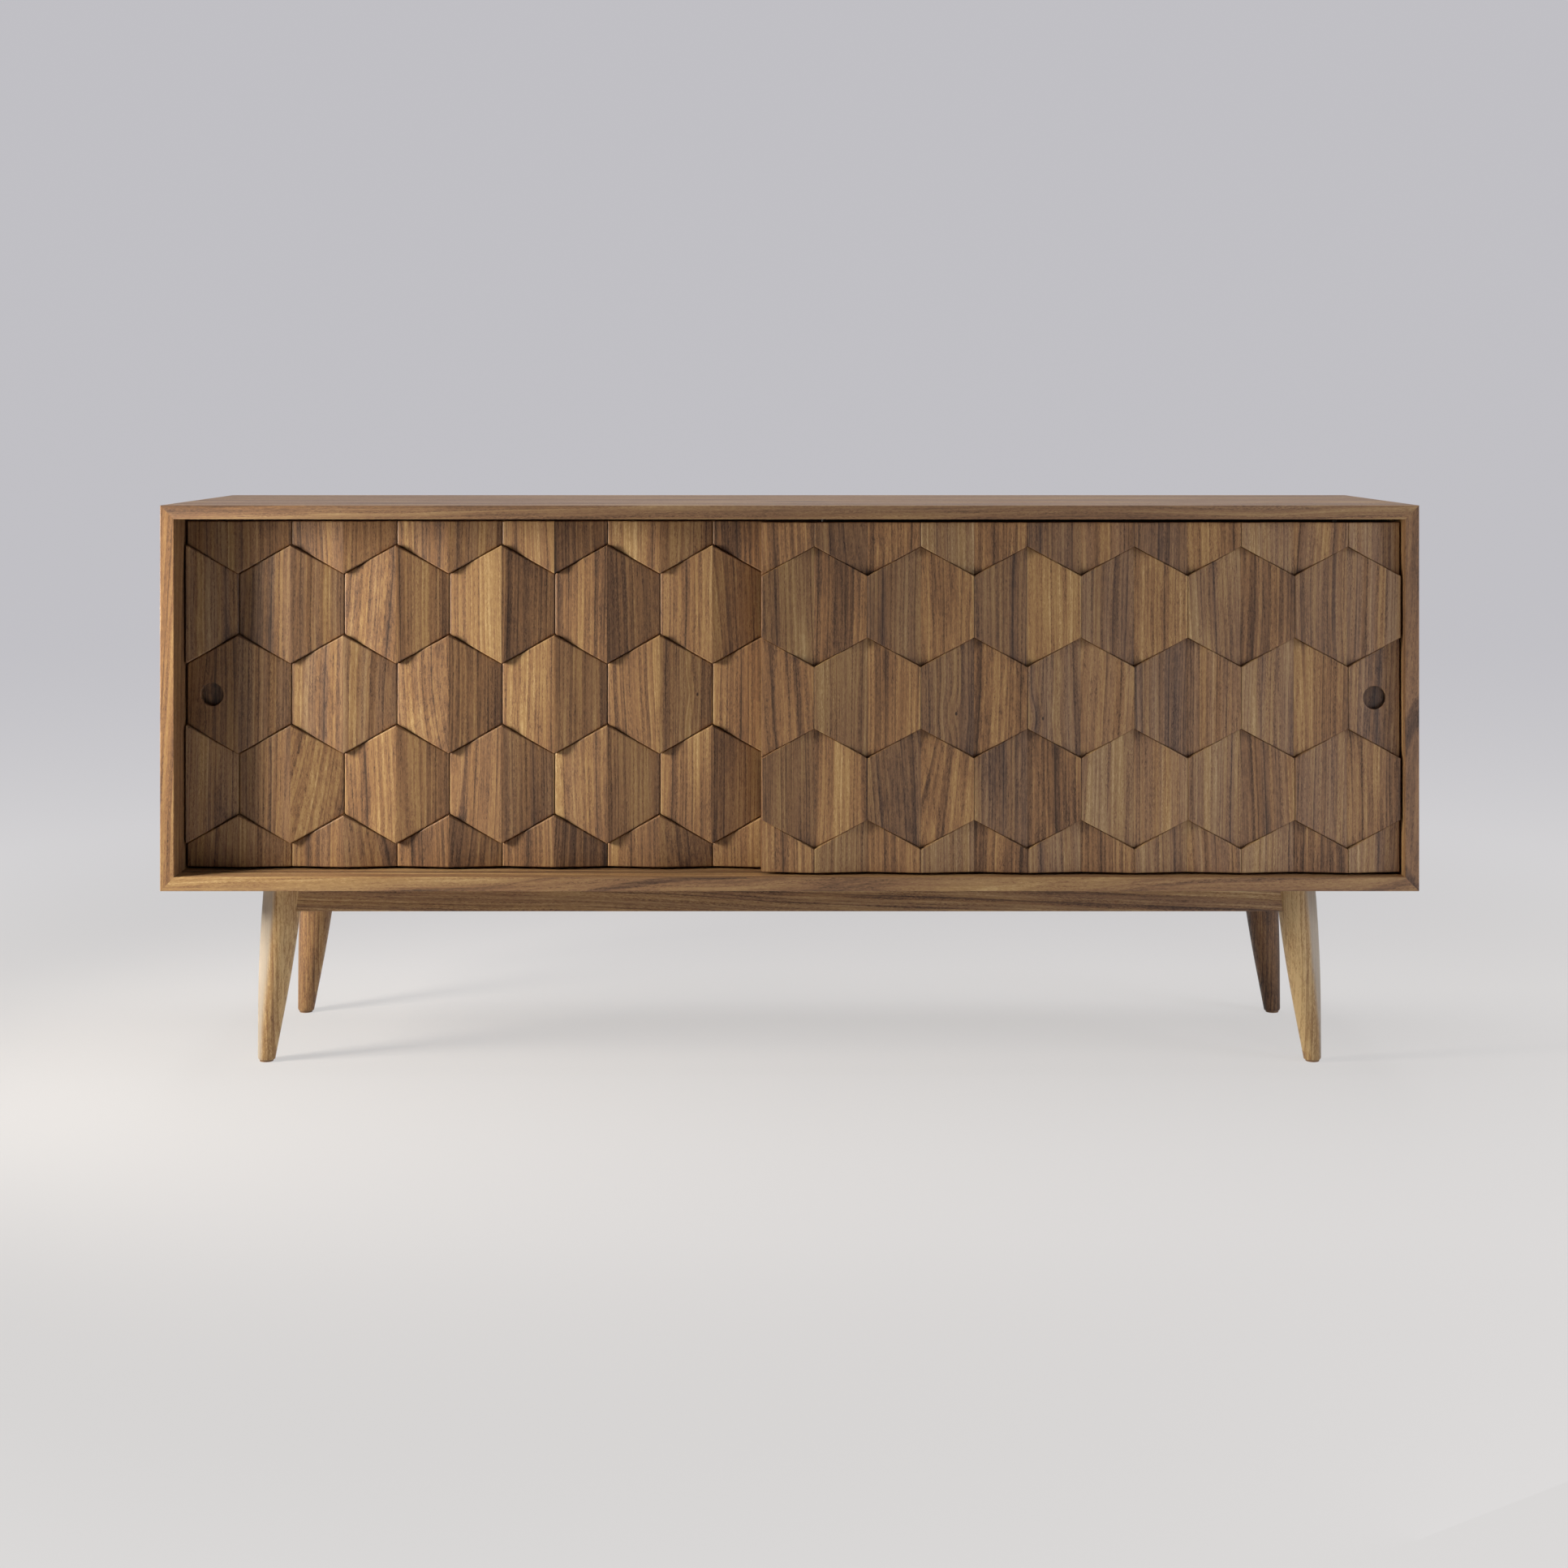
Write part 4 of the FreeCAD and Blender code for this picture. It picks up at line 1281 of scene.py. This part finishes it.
@dataclass
class Door:
    """The tiles of one sliding door.

    Attributes:
        name: The door's body.
        wood: Finish of the tiles.
        crown: Whether the hexagons bulge, rather than being hollow.
        seed: Start of the choices of wood.
        ashen: Ash of the most ashen pieces; as painted light the ash grows towards the sideboard's
        ends, for the cool shade at the left end and the cool sheen at the right.
        facing_painted_shade: Painted light: shade given to halves facing right and taken from
        halves facing left, with ash to match, for a cool light from the right.
        knotty: Share of the halves that have a knot.
        hex_slope: Rise of a hexagon's sloping edge.
        edge_row: Least height of the cut tiles at top and bottom.
        thin: Tile thickness along its thin edge.
        joint: Open joint between neighbouring hexagons.
        arris: Rounding round each hexagon.
        hollow_joint: Open joint where the hexagons are hollow.
        hollow_arris: Rounding where the hexagons are hollow.
        pull_radius: Radius of the finger pull.
        pull_depth: Depth of the finger pull.
        pull_rim: Rounding of its rim.
        pull_overcut: How far the pull's cutter stands out of the face.
        pull_sides: Corners of the pull's rings.
        end_play: How far the end tiles stop short of the door's ends.
        foot_play: How far the lowest tiles stop short of the door's foot.
        columns: Strips across a half tile's curve.
        crowding: How closely the strips crowd at the ridge of a bulging hexagon, as a power.
        least_strip: Least width of a strip beside an arris.
        arris_cuts: Strips of an arris.
        rim_cuts: Strips of the pull's rim.
        ridge: Roundness of a ridge, as a share of the half tile's width.
        hollow_ridge: Roundness where the hexagons are hollow.
        bow: How much of a bulging half tile's fall is curved.
        halves: Half tiles in a row.
        rows: Rows of hexagons.
        span: Box of the door's core.
        face_y: Where the tiles' backs lie.
        relief: How much thicker a tile is along its thick edge.
        middle_ease: Arris at the middle of a hexagon.
        pitch: Width of a half tile with its joints.
        foot_z: Where the lowest tiles end.
        hex_side: Length of a hexagon's upright edge.
        row_pitch: Distance from one row to the next.
        sawyer: Chooses how the tiles are sawn.
    """

    name: str
    wood: bpy.types.Material
    crown: bool
    seed: int
    ashen: float
    facing_painted_shade: float = 0.0
    knotty: float = 0.09
    hex_slope: float = 0.042
    edge_row: float = 0.0345
    thin: float = 0.010
    joint: float = 0.0009
    arris: float = 0.0020
    hollow_joint: float = 0.0004
    hollow_arris: float = 0.0012
    pull_radius: float = 0.0165
    pull_depth: float = 0.010
    pull_rim: float = 0.0012
    pull_overcut: float = 0.01
    pull_sides: int = 96
    end_play: float = 0.0012
    foot_play: float = 0.0006
    columns: int = 14
    crowding: float = 1.6
    least_strip: float = 0.001
    arris_cuts: int = 3
    rim_cuts: int = 6
    ridge: float = 0.025
    hollow_ridge: float = 0.004
    bow: float = 0.12
    halves: int = 12
    rows: int = 5
    span: Span = field(init=False)
    face_y: float = field(init=False)
    relief: float = field(init=False)
    middle_ease: float = field(init=False)
    pitch: float = field(init=False)
    foot_z: float = field(init=False)
    hex_side: float = field(init=False)
    row_pitch: float = field(init=False)
    sawyer: Sawyer = field(init=False)

    def __post_init__(self) -> None:
        """Read the door's place from the frame."""
        self.span = Span.of(f"{self.name}_core")
        self.face_y = self.span.low.y
        self.relief = Span.of(f"{self.name}_tile_row_1").size.y - self.thin
        if not self.crown:
            self.joint, self.arris = self.hollow_joint, self.hollow_arris
            self.ridge, self.bow = self.hollow_ridge, 0.0
        self.middle_ease = 0.0 if self.crown else self.hollow_joint
        self.pitch = self.span.size.x / self.halves
        self.foot_z = self.span.low.z + self.foot_play
        half_height = self.span.size.z / 2
        self.hex_side = (half_height - self.edge_row - 2 * self.hex_slope) / 1.5
        self.row_pitch = self.hex_side + self.hex_slope
        self.sawyer = Sawyer(self.seed, self.knotty)

    def edge(self, row: int, edge: int) -> tuple[float, float, bool, bool]:
        """Work out one upright edge of the half tiles in a row.

        Args:
            row: The row, from 0 at the top.
            edge: The edge, from 0 at the left.

        Returns:
            Its lowest and highest points, whether it is thick and whether it is the
            middle of a hexagon.
        """
        thick = (edge + row) % 2 == 1
        tall = thick == self.crown
        centre = self.span.middle.z + (self.rows // 2 - row) * self.row_pitch
        reach = self.hex_side / 2 + (self.hex_slope if tall else 0.0) - self.joint / 2
        low = self.foot_z if row == self.rows - 1 else centre - reach
        high = self.span.high.z if row == 0 else centre + reach
        return low, high, thick, tall

    def fall(self, share: float) -> float:
        """Work out how far the face falls away from its thick edge.

        Args:
            share: Share of the way from the thick edge to the thin one.

        Returns:
            Share of the whole fall.
        """
        eased = math.hypot(share, self.ridge) - self.ridge
        eased /= math.hypot(1.0, self.ridge) - self.ridge
        return (1 - self.bow) * eased + self.bow * eased * eased

    def stations(self, thick: bool, eases: tuple[float, float]) -> list[tuple[float, float]]:
        """Choose places across a half tile, closer together at its arrises and its ridge.

        Args:
            thick: Whether its first edge is the thick one.
            eases: Arris of its first and second upright edges, 0 for none.

        Returns:
            Distance from the first edge at each place, and how far an arris lowers it there.
        """
        shares = [step / self.columns for step in range(1, self.columns)]
        if self.crown:
            shares = [share ** self.crowding for share in shares]
        spots = [self.pitch * (share if thick else 1 - share) for share in shares]
        first, second = eases
        places = {spot: 0.0 for spot in spots
                  if first < spot - self.least_strip
                  and spot < self.pitch - second - self.least_strip}
        for edge, ease, inward in ((0.0, first, 1), (self.pitch, second, -1)):
            for reach, drop in self.arris_steps(ease):
                places[edge + inward * reach] = drop
        return sorted(places.items())

    def arris_steps(self, ease: float) -> list[tuple[float, float]]:
        """Choose the steps of an arris.

        Args:
            ease: The arris, 0 for none.

        Returns:
            Distance from the edge and depth of each step.
        """
        if not ease:
            return [(0.0, 0.0)]
        angles = [math.radians(90 * step / self.arris_cuts) for step in range(self.arris_cuts + 1)]
        return [(ease * (1 - math.cos(angle)), ease * (1 - math.sin(angle))) for angle in angles]

    def build_half(self, row: int, column: int) -> bpy.types.Object:
        """Build one half tile.

        Its face is a grid of stations across by rows from its lower to its upper edge.

        Args:
            row: Its row, from 0 at the top.
            column: Its column, from 0 at the left.

        Returns:
            The half tile.
        """
        low_0, high_0, thick, tall_0 = self.edge(row, column)
        low_1, high_1, _, tall_1 = self.edge(row, column + 1)
        start = self.span.low.x + column * self.pitch
        eases = tuple(self.middle_ease if tall else self.arris for tall in (tall_0, tall_1))
        trims = [self.end_play if place in (0, self.halves) else 0.0 if tall else self.joint / 2
                 for tall, place in ((tall_0, column), (tall_1, column + 1))]
        squeeze = (self.pitch - sum(trims)) / self.pitch
        tilt = math.cos(math.atan2(self.hex_slope, self.pitch))
        mesh = bmesh.new()
        lines = []
        for spot, drop in self.stations(thick, eases):
            share = spot / self.pitch
            fall = self.fall(share if thick else 1 - share)
            x = start + trims[0] + spot * squeeze
            y = self.face_y - self.thin - self.relief * (1 - fall)
            low, high = low_0 + (low_1 - low_0) * share, high_0 + (high_1 - high_0) * share
            line = []
            for edge, upward in ((low, 1), (high, -1)):
                cut = edge in (self.foot_z, self.span.high.z)
                steps = [(reach if cut else reach / tilt, depth)
                         for reach, depth in self.arris_steps(self.arris)]
                steps = steps if upward > 0 else steps[::-1]
                line += [(edge + upward * reach, self.lowered(drop, depth))
                         for reach, depth in steps]
            lines.append([mesh.verts.new((x, y + depth, z)) for z, depth in line])
        for before, after in zip(lines, lines[1:]):
            for corners in zip(before, after, after[1:], before[1:]):
                mesh.faces.new(corners)
        outline = [line[0] for line in lines] + lines[-1][1:-1]
        outline += [line[-1] for line in lines[::-1]] + lines[0][-2:0:-1]
        back = [mesh.verts.new((vertex.co.x, self.face_y, vertex.co.z)) for vertex in outline]
        for place in range(len(outline)):
            after = (place + 1) % len(outline)
            mesh.faces.new((outline[place], outline[after], back[after], back[place]))
        mesh.faces.new(back)
        bmesh.ops.remove_doubles(mesh, verts=mesh.verts, dist=SAME_SPOT)
        return new_piece(f"{self.name}_tile_{row + 1}_{column + 1:02d}", mesh, self.wood)

    def lowered(self, across: float, along: float) -> float:
        """Work out how far two crossing arrises lower a corner together.

        Args:
            across: How far the upright edge's arris lowers it.
            along: How far the other one lowers it.

        Returns:
            How far both lower it.
        """
        if not across or not along:
            return across + along
        first, second = (1 - depth / self.arris for depth in (across, along))
        return self.arris * (1 - math.sqrt(max(0.0, first * first + second * second - 1)))

    def bore_pull(self, half: bpy.types.Object, x: float, slope: float) -> None:
        """Bore the finger pull into a half tile, with a rounded rim.

        Args:
            half: The half tile.
            x: Where the pull's middle is.
            slope: How much further back the face lies for each metre to the right.
        """
        face = self.face_y - self.thin - self.relief / 2
        floor = Vector((x, face + self.pull_depth, self.span.middle.z))
        profile = [(self.pull_radius, 0.0)]
        for step in range(self.rim_cuts + 1):
            angle = math.radians(90 * step / self.rim_cuts)
            profile.append((self.pull_radius + self.pull_rim * (1 - math.cos(angle)),
                            self.pull_depth - self.pull_rim * (1 - math.sin(angle))))
        profile.append((self.pull_radius + self.pull_rim, self.pull_depth + self.pull_overcut))
        bore = bmesh.new()
        turn = Matrix.Translation(floor) @ Matrix.Rotation(math.radians(90), 4, "X")
        add_lathe(bore, profile, turn, self.pull_sides)
        for vertex in bore.verts:
            if vertex.co.y < floor.y - self.pull_rim / 2:
                vertex.co.y += slope * (vertex.co.x - x)
        carve(half, bore)

    def sawn(self, row: int, column: int, centre: Vector, recess: float) -> Cut:
        """Choose the wood of one half tile.

        Args:
            row: Its row, from 0 at the top.
            column: Its column, from 0 at the left.
            centre: The half tile's own origin.
            recess: Radius of the pull bored into it, whose floor gets painted shade; 0 for none.

        Returns:
            How it is sawn: more ashen towards the sideboard's ends, as painted cool shade and
                sheen.
        """
        # Painted light: ash grows towards the sideboard's ends, for the cool shade at the left end
        # and the cool sheen at the right.
        outward = abs(centre.x) / max(abs(self.span.low.x), abs(self.span.high.x))
        ash = outward * self.sawyer.draw.uniform(0.0, self.ashen)
        cut = self.sawyer.cut(UP, RIGHT, ash=ash, recess=recess)
        # Painted light: halves facing right drawn lighter and greyer, those facing left darker,
        # for a cool light from the right.
        facing = self.facing_painted_shade * (0.5 if (row + column) % 2 else -0.5)
        return replace(cut, shade=cut.shade + facing, ash=max(0.0, ash + 0.25 * facing))

    def build(self) -> None:
        """Build every half tile of the door."""
        pull_column = 0 if self.span.middle.x < 0 else self.halves - 1
        for row in range(self.rows):
            for column in range(self.halves):
                half = self.build_half(row, column)
                centre = Vector((self.span.low.x + (column + 0.5) * self.pitch, self.face_y,
                                 self.span.middle.z))
                recess = 0.0
                if row == self.rows // 2 and column == pull_column:
                    rise = 1 if (row + column) % 2 else -1
                    self.bore_pull(half, centre.x, rise * self.relief / self.pitch)
                    # The pull's floor gets painted shade through its cut.
                    recess = self.pull_radius
                settle_normals(half, sharp=40.0)
                write_grain(half.data, centre, self.sawn(row, column, centre, recess))
                hand_over(half, self.name, "tile_walnut", f"{self.name}_tile_row_{row + 1}")


# --- Studio ----------------------------------------------------------------------------


@dataclass(frozen=True)
class Lamp:
    """A soft panel lamp.

    Attributes:
        name: The lamp's name.
        spot: Where it hangs.
        aim: The point it faces.
        size: Its width and height.
        watts: Its power.
        colour: Its colour.
        beam: Width of its beam, in degrees.
    """

    name: str
    spot: Point
    aim: Point
    size: tuple[float, float]
    watts: float
    colour: Colour
    beam: float = 180.0

    def hang(self) -> None:
        """Add the lamp to the scene."""
        data = bpy.data.lights.new(self.name, "AREA")
        data.shape = "RECTANGLE"
        data.size, data.size_y = self.size
        data.energy = self.watts
        data.color = self.colour
        data.spread = math.radians(self.beam)
        lamp = bpy.data.objects.new(self.name, data)
        lamp.location = self.spot
        facing = Vector(self.aim) - Vector(self.spot)
        lamp.rotation_euler = facing.to_track_quat("-Z", "Y").to_euler()
        bpy.context.scene.collection.objects.link(lamp)


@dataclass
class Studio:
    """The floor, the backdrop, the lamps and the camera.

    Attributes:
        near: Colour of the floor by the object.
        far: Colour of the backdrop, darker and cooler as painted shade for light that falls off
            behind.
        fade_start: How far behind the object's middle the floor starts to fade.
        fade_length: How far behind that most of the fade has happened.
        glow: Share of the near floor's light that no shadow takes away.
        glow_reach: Distances from the object between which that share rises to 1.
        half_width: Half the floor's width.
        front: Where the floor's front edge lies.
        bend_start: Where the backdrop starts to curve up.
        bend_radius: Radius of that curve.
        bend_cuts: Strips of that curve.
        height: Height of the backdrop.
        room: Colour of the light of the room.
        room_light: Strength of the light of the room.
        eye: Where the camera stands.
        lens: Its focal length, in millimetres.
        sensor: Width of its sensor, in millimetres.
        shift: How far its view is shifted up, as a share of its width.
        lamps: The lamps.
    """

    near: Colour = srgb("E3E1E0")
    far: Colour = srgb("C0BFC4")
    fade_start: float = 0.3
    fade_length: float = 1.9
    glow: float = 0.72
    glow_reach: tuple[float, float] = (1.0, 2.4)
    half_width: float = 16.0
    front: float = -14.0
    bend_start: float = 6.0
    bend_radius: float = 3.0
    bend_cuts: int = 15
    height: float = 12.0
    room: Colour = srgb("E4E6EE")
    room_light: float = 0.02
    eye: Point = (-0.008, -3.604, 0.9404)
    lens: float = 54.28
    sensor: float = 36.0
    shift: float = -0.2334
    lamps: tuple[Lamp, ...] = (
        Lamp("window_left", spot=(-1.83, -0.60, 0.84), aim=(-0.4, -0.2, 0.52),
             size=(0.35, 0.55), watts=13.6, colour=srgb("FFF7EB"), beam=98.0),
        Lamp("fill_right", spot=(1.5, -2.3, 2.0), aim=(0.7, -0.1, 0.4),
             size=(0.8, 0.8), watts=0.8, colour=srgb("F4F2F4"), beam=60.0),
        Lamp("side_right", spot=(2.4, -1.0, 1.0), aim=(0.6, -0.2, 0.5),
             size=(0.8, 1.0), watts=4.0, colour=srgb("ECEFFA"), beam=90.0),
        Lamp("low_right", spot=(1.2, -1.2, 0.03), aim=(0.6, -0.3, 0.9),
             size=(1.6, 1.0), watts=6.8, colour=srgb("ECEBF2")),
        Lamp("overhead", spot=(0.0, 0.6, 3.3), aim=(0.0, 0.1, 0.4),
             size=(3.0, 2.2), watts=74.0, colour=srgb("F6F5F6")),
    )

    def paint(self) -> bpy.types.Material:
        """Make the backdrop's paint, which fades from near to far as painted shade for the light
        falling off behind the object.

        Returns:
            The material.
        """
        graph = Graph("studio_sweep")
        x, y, _ = graph.split(graph.add("ShaderNodeTexCoord").outputs["Object"])
        # Painted shade: the colour darkens and cools further behind, for the light falling off
        # there.
        behind = graph.math("MAXIMUM", graph.math("SUBTRACT", y, self.fade_start), 0.0)
        fade = graph.math("EXPONENT", graph.math("DIVIDE", behind, -self.fade_length))
        shown = graph.mix(fade, self.far, self.near)
        reach = graph.vector("LENGTH", graph.joined(x, y, 0.0))
        paint = graph.add("ShaderNodeBsdfDiffuse")
        graph.feed(paint.inputs[0], shown)
        glow = graph.add("ShaderNodeEmission")
        graph.feed(glow.inputs[0], shown)
        seen = graph.add("ShaderNodeLightPath")
        watched = graph.math("MAXIMUM", seen.outputs["Is Camera Ray"],
                             graph.math("MAXIMUM", seen.outputs["Is Glossy Ray"],
                                        seen.outputs["Is Transmission Ray"]))
        share = graph.spread(reach, *self.glow_reach, self.glow, 1.0)
        both = graph.add("ShaderNodeMixShader")
        graph.feed(both.inputs[0], graph.math("MULTIPLY", share, watched))
        graph.feed(both.inputs[1], paint.outputs[0])
        graph.feed(both.inputs[2], glow.outputs[0])
        graph.feed(graph.output.inputs["Surface"], both.outputs[0])
        return graph.material

    def build_floor(self) -> None:
        """Add the floor and a backdrop that curves up far behind."""
        angles = [math.radians(90 * step / self.bend_cuts)
                  for step in range(1, self.bend_cuts + 1)]
        outline = [(self.front, 0.0), (self.bend_start, 0.0)]
        outline += [(self.bend_start + self.bend_radius * math.sin(angle),
                     self.bend_radius * (1 - math.cos(angle))) for angle in angles]
        outline.append((self.bend_start + self.bend_radius, self.height))
        mesh = bmesh.new()
        rows = [[mesh.verts.new((side * self.half_width, y, z)) for side in (-1, 1)]
                for y, z in outline]
        for lower, upper in zip(rows, rows[1:]):
            mesh.faces.new((lower[0], lower[1], upper[1], upper[0]))
        sweep = new_piece("studio_sweep", mesh, self.paint())
        sweep.data.polygons.foreach_set("use_smooth", [True] * len(sweep.data.polygons))

    def build_light(self) -> None:
        """Add the lamps and the light of the room."""
        world = bpy.data.worlds.new("studio_room")
        bpy.context.scene.world = world
        world.use_nodes = True
        room = next(n for n in world.node_tree.nodes if n.type == "BACKGROUND")
        room.inputs["Color"].default_value = (*self.room, 1.0)
        room.inputs["Strength"].default_value = self.room_light
        for lamp in self.lamps:
            lamp.hang()

    def build_camera(self) -> None:
        """Add the camera: level, a little above the top, with its view shifted down."""
        data = bpy.data.cameras.new("front_view")
        data.lens = self.lens
        data.sensor_width = self.sensor
        data.shift_y = self.shift
        camera = bpy.data.objects.new("front_view", data)
        camera.location = self.eye
        camera.rotation_euler = (math.radians(90.0), 0.0, 0.0)
        bpy.context.scene.collection.objects.link(camera)
        bpy.context.scene.camera = camera

    def build(self) -> None:
        """Set the studio up."""
        bpy.context.scene.view_settings.view_transform = "Standard"
        self.build_floor()
        self.build_light()
        self.build_camera()


# --- Everything ------------------------------------------------------------------------


def dress_hardware() -> None:
    """Give the tracks, rollers, screws and hidden joinery their finishes."""
    bronze = Moulding("bronze_powder_coat", srgb("7A5C42"), 0.55).build()
    steel = Metal("zinc_plated", srgb("B4B6B8"), 0.3).build()
    brass = Metal("satin_brass", srgb("C9A760"), 0.3).build()
    # Painted shade: the guides' and wheels' nylon is near black so the guides read as the shaded
    # gap above the doors.
    nylon = Moulding("nylon_painted_shade", srgb("2A2723"), 0.5).build()
    black = Moulding("black_plastic", srgb("2A2826"), 0.5).build()
    glide = Moulding("brown_plastic", srgb("8C6E50"), 0.55).build()
    veneer = Walnut("door_veneer", Grain.UPRIGHT).build()
    back = Walnut("back_veneer", Grain.LEVEL, contrast=0.7, roughness=0.56).build()
    beech = Walnut("joinery_beech", Grain.LEVEL, deep=srgb("A07A55"), dark=srgb("B99068"),
                   brown=srgb("CBA57D"), tan=srgb("D6B48E"), pale=srgb("E0C4A2"),
                   contrast=0.6, roughness=0.6).build()
    dress_nodes(bronze, [f"{place}_{level}_track" for place in ("front", "rear")
                         for level in ("bottom", "top")])
    dress_nodes(steel, ("back_panel_screws", "frame_screws"))
    dress_nodes(brass, ("shelf_pins",))
    dress_nodes(glide, ("floor_glides",))
    dress_nodes(back, ("back_panel",))
    dress_nodes(beech, ("mitre_splines", "divider_dowels"))
    for door in ("left_door", "right_door"):
        dress_nodes(veneer, (f"{door}_core",))
        dress_nodes(black, (f"{door}_roller_housings",))
        dress_nodes(steel, (f"{door}_roller_axles",))
        dress_nodes(nylon, (f"{door}_top_guides", f"{door}_left_wheel", f"{door}_right_wheel"))


def main() -> None:
    """Dress the sideboard and set up its studio."""
    logging.basicConfig(level=logging.INFO, format="%(name)s: %(message)s")
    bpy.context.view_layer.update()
    case_wood = Walnut("case_walnut").build()
    tile_wood = Walnut("tile_walnut", contrast=1.08).build()
    frame_wood = Walnut("frame_walnut", contrast=1.25).build()
    inside_wood = Walnut("inside_walnut").build()
    case = Case(case_wood, inside_wood)
    case.build_boards()
    case.build_inside()
    LegFrame(frame_wood).build()
    Door("left_door", tile_wood, crown=True, seed=5, ashen=0.55).build()
    # The right door's halves get painted light and shade by which way they face.
    Door("right_door", tile_wood, crown=False, seed=17, ashen=0.75, facing_painted_shade=0.5).build()
    dress_hardware()
    Studio().build()


if __name__ == "__main__":
    main()
